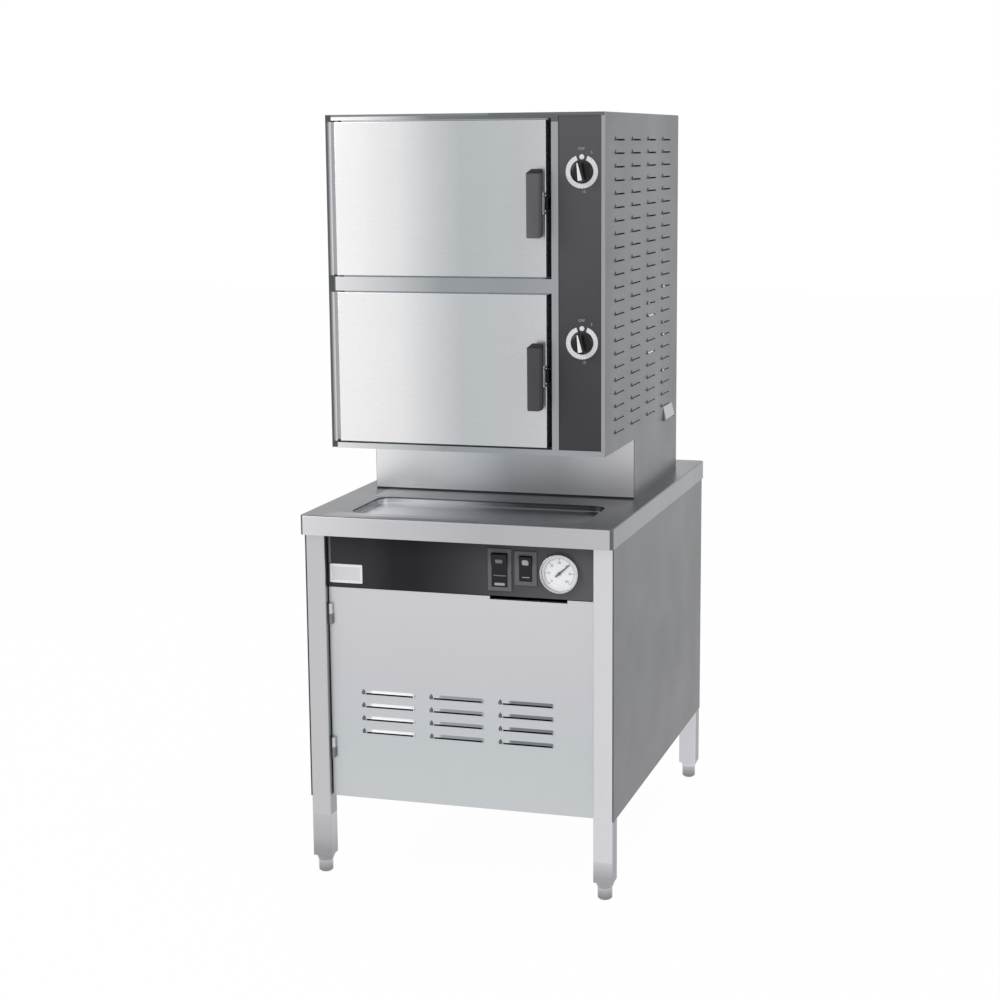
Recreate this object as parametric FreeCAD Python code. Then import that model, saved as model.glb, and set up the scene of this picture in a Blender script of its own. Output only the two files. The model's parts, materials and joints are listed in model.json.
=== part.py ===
import FreeCAD, Part
import math
import os

os.makedirs("parts", exist_ok=True)
V = FreeCAD.Vector

# Two-compartment convection steamer on a boiler cabinet, in millimetres.
# +Z up, +X to the viewer's right, the doors face -Y, the origin is on the
# floor under the middle of the worktop.

# Worktop and its drip basin
top_width = 609.6
top_depth = 838.2
worktop_height = 714.0
worktop_sheet = 2.0
rim_height = 38.0
rim_corner = 9.0
rim_edge = 3.0
basin_left_margin = 80.8
basin_right_margin = 65.8
basin_front_gap = 47.0
basin_length = 185.0
basin_depth = 12.0
basin_corner = 30.0
strainer_from_right = 23.5
strainer_from_back = 27.0
strainer_flange = 18.0
strainer_tail = 12.5
strainer_drop = 34.0
strainer_hole = 2.5
strainer_ring = 7.0
strainer_ring_holes = 6
strainer_sheet = 1.5
strainer_fit = 0.5
service_width = 430.0
service_depth = 250.0

# Legs and levelling feet
leg_size = 38.1
leg_wall = 1.6
leg_corner = 4.0
leg_side_inset = 4.0
leg_front_inset = 18.0
leg_rear_inset = 5.0
leg_bottom = 35.0
socket_taper = 11.0
socket_plug = 30.0
socket_fit = 0.1
socket_edge = 0.5
socket_step = 0.2
foot_radius = 14.0
foot_chamfer = 3.0
foot_stem = 5.0
foot_travel = 25.0
foot_gap = 0.2
foot_grip = 8.0
running_fit = 0.05

# Base cabinet
rail_width = 19.0
rail_height = 30.0
rail_wall = 1.5
cabinet_sheet = 1.5
panel_tuck = 8.0
shelf_clear = 0.2
door_recess = 15.0
base_door_depth = 12.0
base_door_sheet = 1.2
base_door_gap = 2.0
base_door_height = 415.0
notch_from_right = 49.7
notch_length = 150.0
notch_depth = 6.0
louvre_count = 4
louvre_pitch = 25.7
louvre_from_top = 203.0
louvre_length = 98.0
louvre_height = 10.0
louvre_proud = 4.5
louvre_slot = 4.0
louvre_spacing = 137.0
louvre_middle = -3.7
base_pin_radius = 2.2
base_eye_radius = 4.2
base_hinge_height = 40.0
base_hinge_from_bottom = 98.0
base_hinge_from_top = 52.0
base_hinge_leaf = 1.4
base_leaf_front = 7.0
base_leaf_back = 14.0
base_web = 3.0
base_hinge_play = 0.4
catch_height = 26.0
catch_width = 14.0
catch_depth = 11.6
catch_gap = 0.4

# Control strip, switches and gauge
strip_recess = 12.0
strip_height = 103.0
strip_return = 20.0
strip_gap = 2.0
strip_side_gap = 2.0
power_from_leg = 180.7
power_below_rim = 53.0
power_frame = (46.0, 80.0)
power_rocker = (30.0, 64.0)
drain_switch_from_leg = 130.2
drain_switch_below_rim = 48.0
drain_switch_frame = (43.0, 64.0)
drain_switch_rocker = (24.0, 48.0)
bezel_proud = 2.5
rocker_throw = 8.0
rocker_crown = 3.0
rocker_side_gap = 0.6
rocker_pivot = 2.0
rocker_axis_in = 1.0
rocker_end_gap = 0.6
rocker_skirt = 2.0
rocker_back = 5.0
rocker_back_half = 8.0
rocker_pin_gap = 0.1
bezel_corner = 1.0
switch_wall = 2.4
switch_depth = 16.0
gauge_from_leg = 65.7
gauge_below_rim = 54.0
gauge_radius = 37.0
gauge_wall = 3.5
gauge_proud = 9.0
gauge_depth = 30.0
gauge_round = 2.5
gauge_fit = 0.3
gauge_floor_in = 1.0
gauge_stub_radius = 7.0
gauge_stub_length = 14.0
dial_sheet = 1.0
needle_length = 27.0
needle_width = 3.0
needle_angle = 41.0
needle_lift = 1.4
needle_sheet = 0.8
needle_tail = 9.0
needle_tip = 0.7
needle_hub = 3.2
needle_hub_rise = 0.6
spindle_radius = 1.0
spindle_length = 5.0
lens_thickness = 1.5
lens_in = 1.5

# Boiler and its fittings
boiler_x = -80.0
boiler_y = 30.0
boiler_radius = 120.0
boiler_wall = 4.0
boiler_height = 230.0
dome_height = 45.0
skirt_height = 95.0
skirt_radius = 105.0
skirt_sheet = 3.0
skirt_window = 60.0
spout_wall = 3.0
port_wall = 5.0
tap_wall = 2.0
tap_rise = 6.0
jacket_thickness = 22.0
jacket_clearance = 0.5
nozzle_radius = 42.0
nozzle_length = 50.0
nozzle_above_bottom = 66.0
neck_share = 0.6
flange_radius = 62.0
flange_thickness = 9.0
element_radius = 5.0
element_spacing = 18.0
element_bend = 24.0
element_reach = 170.0
terminal_cover_in = 18.0
terminal_cover_length = 34.0
safety_radius = 13.0
safety_height = 70.0
safety_offset = 60.0
safety_forward = 20.0
safety_outlet = (9.0, 6.0)
safety_arm = 34.0
safety_stem = 3.0
steam_pipe = 11.0
pipe_wall = 1.5
pipe_bend = 24.0
tee_reach = 22.0
pipe_entry = 8.0
riser_space = 55.0
drain_riser_space = 25.0
drain_pipe = 11.0
valve_body = 17.0
valve_length = 60.0
lever_length = 85.0
lever_thickness = 4.0
lever_width = 18.0
lever_nut = 7.0
lever_nut_height = 5.0
lever_gap = 0.3
lever_tail = 9.0
valve_stem = 4.0
valve_neck = 9.0
valve_neck_length = 12.0
valve_ahead = 40.0
drain_drop = 45.0
fill_block = 36.0
fill_from_leg = 72.7
fill_above_shelf = 191.0
inlet_bore = 9.5
inlet_length = 14.0
inlet_wall = 4.0
coil_radius = 17.0
coil_height = 38.0
fill_outlet = 8.0
fill_outlet_length = 24.0
outlet_from_leg = 62.7
socket_radius = 13.5
socket_depth = 16.0
socket_floor = 4.0
connection_proud = 3.0
drain_under_rim = 50.0
drain_turn = 27.0
outlet_turn = 45.0
spout_length = 14.0
cable_hole = 14.0
cable_above_inlet = 110.0
water_pipe = 6.0
pipe_gap = 0.3
contactor_depth = 150.0
contactor_width = 45.0
contactor_height = 170.0
contactor_above_shelf = 141.0
contactor_y = 110.0
contactor_plate = 3.0
contactor_block = 48.0
contactor_block_height = 73.0
contactor_top_gap = 12.0
contactor_nose = 24.0
contactor_nose_height = 36.0

# Pedestal and upper cabinet
unit_width = 537.0
unit_depth = 629.0
unit_height = 625.0
unit_front_gap = 86.0
pedestal_height = 118.0
pedestal_setback = 238.0
pedestal_sheet = 1.5
pedestal_flange = 14.0
unit_sheet = 1.2
side_return = 7.0
left_return = 11.5
top_edge = 6.5
rear_wrap = 71.0
rear_flange = 18.0
edge_strip = 13.0
trim_gap = 2.5
mullion = 31.0
door_left_margin = 17.0
door_thickness = 36.0
door_corner = 4.0
latch_gap = 10.0
post_trim = 13.0
control_width = 81.0
right_trim = 6.5
post_sheet = 1.2
frame_sheet = 1.5
mouth_overlap = 14.0
rear_space = 38.2
cavity_sheet = 1.2
cavity_flange = 12.0
side_louvre_pitch = 24.6
side_louvre_end = 37.0
side_louvre_length = 62.0
side_louvre_height = 9.0
side_louvre_proud = 3.0
side_louvre_slot = 3.0
side_louvre_first = 110.0
side_louvre_last = 47.5
side_louvre_columns = 4
vent_rows = 10
vent_pitch = 20.0
vent_length = 70.0
vent_height = 6.0
vent_above_bottom = 88.0
hood_length = 82.0
hood_height = 30.0
hood_proud = 7.0
hood_from_back = 87.9
hood_above_bottom = 16.0
hood_slot = 4.0

# Doors
gasket_width = 9.0
gasket_depth = 8.0
gasket_inset = 4.0
gasket_round = 2.5
seal_gap = 0.3
skin_sheet = 1.2
liner_sheet = 1.2
liner_emboss = 5.0
liner_margin = 5.0
hinge_offset_x = 8.0
hinge_offset_y = 7.5
hinge_pin = 4.0
hinge_reach = 14.0
hinge_clear = 1.0
hinge_play = 1.0
pivot_block = 15.0
hinge_block_depth = 24.0
hinge_block_half = 12.0
handle_width = 29.5
handle_height = 124.0
handle_drop = 7.5
handle_thickness = 12.0
handle_proud = 30.0
handle_right_gap = 2.0
handle_bevel = 8.0
handle_corner = 2.0
handle_edge = 1.5
handle_pivot_in = 7.0
handle_pivot_out = 10.0
handle_pin = 3.0
boss_height = 30.0
boss_radius = 7.0
ear_thickness = 4.0
ear_gap = 0.4
hook_thickness = 3.0
hook_height = 22.0
hook_reach = 15.0
notch_clear = 5.0
strike_height = 24.0
strike_width = 2.5
strike_depth = 12.0
strike_behind_hook = 6.0

# Compartment fittings
guide_gap = 6.0
guide_sheet = 1.2
guide_ledge = 12.0
guide_pitch = 76.0
guide_first = 30.0
guide_count = 3
guide_end_gap = 14.0
guide_edge_gap = 10.0
guide_stud = 4.0
guide_stud_in = 30.0
guide_stud_level = 12.0
fan_space = 44.0
wheel_radius = 84.0
wheel_width = 30.0
wheel_blades = 12
wheel_hub = 16.0
wheel_sheet = 2.0
wheel_from_back = 190.0
wheel_gap = 6.0
wheel_eye = 0.72
blade_inner = 0.62
blade_middle = 0.8
blade_lean = 30.0
shaft_grip = 0.6
blade_sheet = 1.5
shaft_radius = 6.0
shaft_hole = 9.0
motor_radius = 46.0
motor_length = 84.0
motor_plate = 120.0
motor_plate_sheet = 3.0
motor_round = 5.0
lead_box_from_plate = 14.0
lead_box_length = 40.0
lead_box_width = 32.0
lead_box_rise = 14.0
inlet_radius = 58.0
insulation_gap = 0.3
drain_hole_from_back = 80.0
drain_hole_from_fan = 16.0
steam_from_back = 45.0
steam_level = 0.72
drain_cross_level = 0.66
pan_opening_margin = 20.0

# Timers
dial_x_from_right = 43.5
upper_dial_below_door = 93.0
lower_dial_below_door = 87.0
dial_outer = 30.0
dial_thickness = 0.6
dial_gap = 1.0
knob_radius = 20.5
knob_base = 6.0
knob_height = 20.0
grip_width = 9.0
grip_tilt = 24.0
knob_gap = 0.4
shaft_timer = 3.0
bush_radius = 5.5
timer_size = 52.0
timer_depth = 42.0
bush_fit = 0.3
knob_chamfer = 1.2
grip_round = 2.0
grip_inset = 1.0
timer_shaft_length = 25.0
panel_sheet = 2.0

# Fasteners
screw_head = 4.5
screw_head_height = 2.4
screw_shank = 2.0
screw_length = 7.0
screw_clearance = 0.35
screw_margin = 9.0
screw_inset = 60.0
rear_screw_share = 0.7

# Levels and planes that follow from the sizes above
half_top = top_width / 2
front = -top_depth / 2
back = top_depth / 2
underside = worktop_height - worktop_sheet
rim_bottom = worktop_height - rim_height
strip_bottom = rim_bottom - strip_height
base_door_top = strip_bottom - strip_gap
cabinet_bottom = base_door_top - base_door_height
leg_x = half_top - leg_side_inset
leg_inner = leg_x - leg_size
leg_front = front + leg_front_inset
leg_back = back - leg_rear_inset
rail_bottom = cabinet_bottom + cabinet_sheet
shelf_bottom = rail_bottom + rail_height
shelf_top = shelf_bottom + cabinet_sheet
rail_top = underside - rail_height
base_door_front = leg_front + door_recess
base_door_back = base_door_front + base_door_depth
base_door_x = leg_inner - base_door_gap
notch_right = base_door_x - notch_from_right
notch_left = notch_right - notch_length
louvre_top_row = base_door_top - louvre_from_top
base_louvre_centres = (louvre_middle - louvre_spacing, louvre_middle, louvre_middle + louvre_spacing)
base_hinge_levels = (cabinet_bottom + base_hinge_from_bottom, base_door_top - base_hinge_from_top)
strip_front = leg_front + strip_recess
strip_top = rail_top
power_x = leg_inner - power_from_leg
power_z = rim_bottom - power_below_rim
drain_switch_x = leg_inner - drain_switch_from_leg
drain_switch_z = rim_bottom - drain_switch_below_rim
gauge_x = leg_inner - gauge_from_leg
gauge_z = rim_bottom - gauge_below_rim
fill_x = leg_inner - fill_from_leg
fill_z = shelf_top + fill_above_shelf
outlet_x = -leg_inner + outlet_from_leg
contactor_z = shelf_top + contactor_above_shelf
basin_left = -half_top + basin_left_margin
basin_right = half_top - basin_right_margin
basin_front = front + basin_front_gap
basin_back = basin_front + basin_length
basin_floor = worktop_height - basin_depth
unit_x = unit_width / 2
unit_front = front + unit_front_gap
unit_back = unit_front + unit_depth
unit_bottom = worktop_height + pedestal_height
unit_top = unit_bottom + unit_height
pedestal_front = unit_front + pedestal_setback
service_y = (pedestal_front + unit_back) / 2
door_width = unit_width - door_left_margin - latch_gap - post_trim - control_width - right_trim
door_left = -unit_x + door_left_margin
left_end = -unit_x + left_return
door_right = door_left + door_width
door_height = (unit_height - 2 * edge_strip - mullion) / 2
door_back = unit_front + door_thickness
frame_front = door_back + gasket_depth + seal_gap
frame_back = frame_front + frame_sheet
post_x = door_right + latch_gap
panel_left = post_x + post_trim
panel_right = unit_x - right_trim
panel_front = unit_front + unit_sheet
cavity_left = door_left + mouth_overlap
cavity_right = door_right - mouth_overlap
cavity_back = unit_back - rear_space
cavity_height = door_height - 2 * mouth_overlap
lower_door_z = unit_bottom + edge_strip
upper_door_z = lower_door_z + door_height + mullion
fan_x = cavity_right - fan_space
fan_y = cavity_back - wheel_from_back
motor_x = cavity_right + cavity_sheet
hinge_x = door_left + hinge_offset_x
hinge_y = unit_front + hinge_offset_y
handle_x = door_right - handle_pivot_in
handle_y = unit_front - handle_pivot_out
dial_x = unit_x - dial_x_from_right
upper_dial_z = upper_door_z + door_height - upper_dial_below_door
lower_dial_z = lower_door_z + door_height - lower_dial_below_door
mullion_bottom = lower_door_z + door_height + trim_gap
mullion_top = upper_door_z - trim_gap
head_bottom = unit_top - edge_strip + trim_gap
sill_top = unit_bottom + edge_strip - trim_gap
side_louvre_lowest = unit_bottom + side_louvre_end
side_louvre_rows = 1 + int((unit_height - 2 * side_louvre_end) / side_louvre_pitch)
side_louvre_run = unit_depth - rear_wrap - side_louvre_first - side_louvre_last
side_louvre_spacing = side_louvre_run / (side_louvre_columns - 1)
vent_lowest = unit_bottom + vent_above_bottom
hood_centre = unit_back - hood_from_back
hood_level = unit_bottom + hood_above_bottom
boiler_bottom = shelf_top + skirt_height
boiler_top = boiler_bottom + boiler_height
nozzle_z = boiler_bottom + nozzle_above_bottom


def box(x0, x1, y0, y1, z0, z1):
    """A block between two corners."""
    return Part.makeBox(x1 - x0, y1 - y0, z1 - z0, V(x0, y0, z0))


def rod(radius, start, end):
    """A round bar between two points."""
    run = end.sub(start)
    return Part.makeCylinder(radius, run.Length, start, run)


def tube(outer, inner, start, end):
    """A round tube between two points."""
    return rod(outer, start, end).cut(rod(inner, start, end))


def join(first, *others):
    """Fuses solids into one and merges the faces that line up."""
    if not others:
        return first
    return first.fuse(list(others)).removeSplitter()


def without(solid, *tools):
    """Cuts tools out of a solid."""
    for tool in tools:
        solid = solid.cut(tool)
    return solid


def upright_edges(solid):
    """The straight edges that run along Z."""
    found = []
    for edge in solid.Edges:
        if isinstance(edge.Curve, Part.Line):
            if abs(edge.tangentAt(edge.FirstParameter).z) > 0.999:
                found.append(edge)
    return found


def rounded_box(x0, x1, y0, y1, z0, z1, radius):
    """A block with its four upright edges rounded."""
    block = box(x0, x1, y0, y1, z0, z1)
    return block.makeFillet(radius, upright_edges(block))


def edges_at(solid, axis, value):
    """Every edge of a solid that lies in one plane across an axis."""
    found = []
    for edge in solid.Edges:
        low = getattr(edge.BoundBox, axis + "Min")
        high = getattr(edge.BoundBox, axis + "Max")
        if abs(low - value) < 0.001 and abs(high - value) < 0.001:
            found.append(edge)
    return found


def prism_x(points, x0, x1):
    """An outline of (y, z) points swept along X."""
    wire = Part.makePolygon([V(x0, y, z) for y, z in points + points[:1]])
    return Part.Face(wire).extrude(V(x1 - x0, 0, 0))


def prism_y(points, y0, y1):
    """An outline of (x, z) points swept along Y."""
    wire = Part.makePolygon([V(x, y0, z) for x, z in points + points[:1]])
    return Part.Face(wire).extrude(V(0, y1 - y0, 0))


def pipe_way(outer, inner, points, bend):
    """Straight tubes through points, joined face to face by elbows of one radius."""
    pieces = []
    last = points[0]
    for here, before, after in zip(points[1:-1], points[:-2], points[2:]):
        back_way = before.sub(here).normalize()
        next_way = after.sub(here).normalize()
        half = back_way.getAngle(next_way) / 2
        reach = bend / math.tan(half)
        start = here.add(V(back_way).multiply(reach))
        end = here.add(V(next_way).multiply(reach))
        middle_way = back_way.add(next_way).normalize()
        centre = here.add(V(middle_way).multiply(bend / math.sin(half)))
        middle = centre.sub(V(middle_way).multiply(bend))
        path = Part.Wire([Part.Arc(start, middle, end).toShape()])
        rings = []
        for radius in (outer, inner):
            ring = Part.Wire(Part.makeCircle(radius, start, back_way))
            rings.append(path.makePipeShell([ring], True, False))
        pieces.append(tube(outer, inner, last, start))
        pieces.append(rings[0].cut(rings[1]))
        last = end
    pieces.append(tube(outer, inner, last, points[-1]))
    return pieces


def pipe_tee(outer, inner, middle, run, branch):
    """A tee fitting; run and branch are the unit ways of its two lines."""
    low = middle.sub(V(run).multiply(tee_reach))
    high = middle.add(V(run).multiply(tee_reach))
    side = middle.add(V(branch).multiply(tee_reach))
    body = join(rod(outer, low, high), rod(outer, middle, side))
    return body.cut(rod(inner, low, high)).cut(rod(inner, middle, side))


def mirrored(solid):
    """The same piece on the other side of the middle plane."""
    return solid.mirror(V(0, 0, 0), V(1, 0, 0))


def moved(solid, x, y, z):
    """A copy of a piece somewhere else."""
    copy = solid.copy()
    copy.translate(V(x, y, z))
    return copy


def save(name, *solids):
    """Writes one node; several solids stay separate in it."""
    pieces = []
    for solid in solids:
        for piece in solid.Solids:
            if not piece.isValid():
                print("INVALID", name)
            pieces.append(piece)
    shape = pieces[0] if len(pieces) == 1 else Part.makeCompound(pieces)
    shape.exportStep("parts/%s.step" % name)
    volume = sum(piece.Volume for piece in pieces)
    print("%-22s %2d solids %9.1f cm3" % (name, len(pieces), volume / 1000))


# Places of the screws, by the panel that they hold

def unit_rear_screws():
    """Screws round the edge of the upper rear panel, from behind."""
    places = []
    for x in (-unit_x + screw_margin, 0.0, unit_x - screw_margin):
        for z in (unit_bottom + screw_margin, unit_top - screw_margin):
            places.append((V(x, unit_back, z), V(0, 1, 0)))
    return places


def base_rear_screws():
    """Screws through the base cabinet's rear panel into the rear rails."""
    places = []
    for x in (-leg_inner * rear_screw_share, leg_inner * rear_screw_share):
        for z in (rail_bottom + rail_height / 2, rail_top + rail_height / 2):
            places.append((V(x, leg_back, z), V(0, 1, 0)))
    return places


def base_side_screws():
    """Screws up through the side panels' lower edges into the rails."""
    places = []
    for side in (-1, 1):
        for y in (leg_front + leg_size + screw_inset, 0.0, leg_back - leg_size - screw_inset):
            at = V(side * (leg_x - leg_size / 2), y, cabinet_bottom)
            places.append((at, V(0, 0, -1)))
    return places


def pedestal_screws():
    """Screws through the pedestal's foot flange into the worktop."""
    places = []
    middle = (pedestal_sheet + pedestal_flange) / 2
    for x in (-unit_x + middle, unit_x - middle):
        for y in (pedestal_front + screw_inset, unit_back - screw_inset):
            places.append((V(x, y, worktop_height + pedestal_sheet), V(0, 0, 1)))
    return places


def screw_holes(places):
    """Clearance holes for a list of screws."""
    holes = []
    for at, way in places:
        start = at.add(V(way).multiply(screw_head_height))
        end = at.sub(V(way).multiply(screw_length + 1.0))
        holes.append(rod(screw_shank + screw_clearance, start, end))
    return holes


def screws(places):
    """Domed screws, each head seated on its panel."""
    made = []
    for at, way in places:
        top = at.add(V(way).multiply(screw_head_height))
        head = rod(screw_head, at, top)
        edge = head.Edges[0]
        for candidate in head.Edges:
            if candidate.CenterOfMass.sub(top).Length < 0.01:
                edge = candidate
        head = head.makeFillet(screw_head_height * 0.45, [edge])
        shank = rod(screw_shank, at.add(V(way).multiply(0.5)), at.sub(V(way).multiply(screw_length)))
        made.append(join(head, shank))
    return made


# Worktop

def make_worktop():
    """Pressed top with its turned-down rim, and the drip tray welded under its opening."""
    sheet = worktop_sheet
    outer = rounded_box(-half_top, half_top, front, back, rim_bottom, worktop_height, rim_corner)
    outer = outer.makeFillet(rim_edge, edges_at(outer, "Z", worktop_height))
    inner = rounded_box(-half_top + sheet, half_top - sheet, front + sheet, back - sheet,
                        rim_bottom - 1.0, underside, rim_corner - sheet)
    hollow = rounded_box(basin_left, basin_right, basin_front, basin_back,
                         basin_floor, worktop_height + 1.0, basin_corner)
    tray = rounded_box(basin_left - sheet, basin_right + sheet, basin_front - sheet,
                       basin_back + sheet, basin_floor - sheet, underside, basin_corner + sheet)
    at = V(basin_right - strainer_from_right, strainer_y(), basin_floor)
    drain = rod(strainer_tail + strainer_fit, at.sub(V(0, 0, 2 * sheet)), at.add(V(0, 0, 1)))
    top = outer.cut(inner).cut(hollow).cut(service_hole(underside - 1.0))
    return [without(top, *screw_holes(pedestal_screws())), tray.cut(hollow).cut(drain)]


def strainer_y():
    """The strainer's place from front to back."""
    return basin_back - strainer_from_back


def service_hole(z0):
    """The opening that pipes and wires take up through the pedestal."""
    return box(-service_width / 2, service_width / 2, service_y - service_depth / 2,
               service_y + service_depth / 2, z0, z0 + worktop_sheet + 2.0)


def make_strainer():
    """Perforated drain fitting in the drip basin, with its tail below."""
    at = V(basin_right - strainer_from_right, strainer_y(), basin_floor)
    flange = rod(strainer_flange, at, at.add(V(0, 0, strainer_sheet)))
    tail = tube(strainer_tail, strainer_tail - strainer_sheet, at, at.sub(V(0, 0, strainer_drop)))
    holes = [rod(strainer_hole, at.sub(V(0, 0, 1)), at.add(V(0, 0, 3)))]
    for turn in range(strainer_ring_holes):
        angle = math.radians(360 * turn / strainer_ring_holes)
        spot = at.add(V(strainer_ring * math.cos(angle), strainer_ring * math.sin(angle), 0))
        holes.append(rod(strainer_hole, spot.sub(V(0, 0, 1)), spot.add(V(0, 0, 3))))
    return without(join(flange, tail), *holes)


# Legs, feet and rails

def leg_places():
    """Centre lines of the four legs, by name."""
    x = leg_x - leg_size / 2
    y_front = leg_front + leg_size / 2
    y_back = leg_back - leg_size / 2
    return {"front_left": (-x, y_front), "front_right": (x, y_front),
            "rear_left": (-x, y_back), "rear_right": (x, y_back)}


def make_leg(x, y):
    """A square tube up to the worktop's underside."""
    half = leg_size / 2
    bore = half - leg_wall
    outer = rounded_box(x - half, x + half, y - half, y + half, leg_bottom, underside, leg_corner)
    inner = rounded_box(x - bore, x + bore, y - bore, y + bore, leg_bottom - 1.0,
                        underside + 1.0, leg_corner - leg_wall)
    return outer.cut(inner)


def make_socket(x, y):
    """A tapered, threaded plug in the leg's end, for the foot's stem."""
    low = V(x, y, leg_bottom - socket_taper)
    taper = Part.makeCone(foot_radius + socket_edge, leg_size / 2 - socket_step, socket_taper, low)
    plug = rod(leg_size / 2 - leg_wall - socket_fit, V(x, y, leg_bottom - 0.5),
               V(x, y, leg_bottom + socket_plug))
    bore = rod(foot_stem + running_fit, low.sub(V(0, 0, 1)), V(x, y, leg_bottom + socket_plug + 1.0))
    return join(taper, plug).cut(bore)


def make_foot(x, y):
    """A bullet foot and its stem, standing on the floor."""
    body_top = leg_bottom - socket_taper - foot_gap
    body = rod(foot_radius, V(x, y, 0), V(x, y, body_top))
    body = body.makeChamfer(foot_chamfer, edges_at(body, "Z", 0.0))
    stem = rod(foot_stem, V(x, y, body_top - 1.0), V(x, y, leg_bottom + foot_travel + foot_grip))
    return join(body, stem)


def hollow_rail(x0, x1, y0, y1, z0, z1, along):
    """A rectangular tube with open ends."""
    wall = rail_wall
    outer = box(x0, x1, y0, y1, z0, z1)
    if along == "x":
        return outer.cut(box(x0 - 1, x1 + 1, y0 + wall, y1 - wall, z0 + wall, z1 - wall))
    return outer.cut(box(x0 + wall, x1 - wall, y0 - 1, y1 + 1, z0 + wall, z1 - wall))


def rear_rail_y():
    """The rear rails' outer face, one sheet in from the legs' backs."""
    return leg_back - cabinet_sheet


def lower_front_rail_y():
    """The lower front rail's front face, behind the cabinet door."""
    return base_door_back + cabinet_sheet


def make_rails():
    """Four rails under the worktop and four that carry the shelf."""
    centre = leg_x - leg_size / 2
    half = rail_width / 2
    rails = []
    for z0 in (rail_bottom, rail_top):
        z1 = z0 + rail_height
        for side in (-1, 1):
            x0 = side * centre - half
            rails.append(hollow_rail(x0, x0 + rail_width, leg_front + leg_size,
                                     leg_back - leg_size, z0, z1, "y"))
        y1 = rear_rail_y()
        rails.append(hollow_rail(-leg_inner, leg_inner, y1 - rail_width, y1, z0, z1, "x"))
        y0 = lower_front_rail_y() if z0 == rail_bottom else leg_front + 1.0
        rails.append(hollow_rail(-leg_inner, leg_inner, y0, y0 + rail_width, z0, z1, "x"))
    holes = screw_holes(base_rear_screws() + base_side_screws())
    return [without(rail, *holes) for rail in rails]


# Base cabinet panels

def make_side_panel():
    """Right side sheet over the legs, its lower edge turned in."""
    sheet = cabinet_sheet
    plate = box(leg_x, leg_x + sheet, leg_front + 1.0, back - rim_corner,
                cabinet_bottom, rim_bottom + panel_tuck)
    turned = box(leg_x - leg_size, leg_x + sheet, leg_front + leg_size + 1.0,
                 leg_back - leg_size - 1.0, cabinet_bottom, rail_bottom)
    return without(join(plate, turned), *screw_holes(base_side_screws()))


def make_base_rear():
    """Rear sheet between the legs, with its service holes."""
    plate = box(-leg_inner, leg_inner, rear_rail_y(), leg_back, cabinet_bottom, rim_bottom + panel_tuck)
    inlet = rod(inlet_bore + 4.5, V(fill_x, leg_back - 5, fill_z), V(fill_x, leg_back + 5, fill_z))
    outlet = rod(socket_radius + 0.5, V(outlet_x, leg_back - 5, drain_z()),
                 V(outlet_x, leg_back + 5, drain_z()))
    cable = rod(cable_hole, V(fill_x, leg_back - 5, cable_z()), V(fill_x, leg_back + 5, cable_z()))
    return without(plate, inlet, outlet, cable, *screw_holes(base_rear_screws()))


def cable_z():
    """Height of the supply cable's hole."""
    return fill_z + cable_above_inlet


def make_shelf():
    """The cabinet floor, notched round the legs and resting on the rails."""
    x = leg_x - leg_size / 2 + rail_width / 2
    plate = box(-x, x, lower_front_rail_y(), rear_rail_y(), shelf_bottom, shelf_top)
    for side in (-1, 1):
        for y0, y1 in ((leg_front, leg_front + leg_size), (leg_back - leg_size, leg_back)):
            x0, x1 = sorted((side * leg_inner, side * leg_x))
            plate = plate.cut(box(x0 - shelf_clear, x1 + shelf_clear, y0 - shelf_clear, y1 + shelf_clear,
                                  shelf_bottom - 1, shelf_top + 1))
    return plate


def louvre(width, height, proud, slot, sheet):
    """A pressed hood on the plane y = 0, its mouth down, and its slot."""
    outer = prism_x([(0.0, height / 2), (-proud, -height / 2), (0.0, -height / 2)],
                    -width / 2, width / 2)
    lean = sheet * 0.9
    inner = prism_x([(sheet, height / 2 - lean), (-proud + lean, -height / 2 - 0.01),
                     (sheet, -height / 2 - 0.01)], -width / 2 + sheet, width / 2 - sheet)
    opening = box(-width / 2 + sheet, width / 2 - sheet, -proud, sheet + 0.5, -height / 2,
                  -height / 2 + slot)
    return outer, join(inner, opening)


def base_hinge_x():
    """The cabinet door's hinge line, beside the left leg."""
    return -leg_inner + base_hinge_leaf + base_eye_radius + base_hinge_play


def base_hinge_y():
    """The hinge line from front to back, in front of the door."""
    return base_door_front - base_eye_radius - base_hinge_play / 2


def make_base_door():
    """Louvred door with folded edges, hung at its left edge."""
    sheet = base_door_sheet
    x = base_door_x
    pan = box(-x, x, base_door_front, base_door_back, cabinet_bottom, base_door_top)
    pan = pan.cut(box(-x + sheet, x - sheet, base_door_front + sheet, base_door_back + 1.0,
                      cabinet_bottom + sheet, base_door_top - sheet))
    pan = pan.cut(box(notch_left, notch_right, base_door_front - 1, base_door_back + 1,
                      base_door_top - notch_depth, base_door_top + 1))
    lip = box(notch_left, notch_right, base_door_front, base_door_back,
              base_door_top - notch_depth - sheet, base_door_top - notch_depth)
    pan = join(pan, lip)
    hood, hole = louvre(louvre_length, louvre_height, louvre_proud, louvre_slot, sheet)
    hoods = []
    holes = []
    for centre in base_louvre_centres:
        for row in range(louvre_count):
            z = louvre_top_row - row * louvre_pitch
            hoods.append(moved(hood, centre, base_door_front, z))
            holes.append(moved(hole, centre, base_door_front, z))
    pan = without(join(pan, *hoods), *holes)
    for level in base_hinge_levels:
        pan = join_knuckle(pan, level)
    return pan


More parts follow.
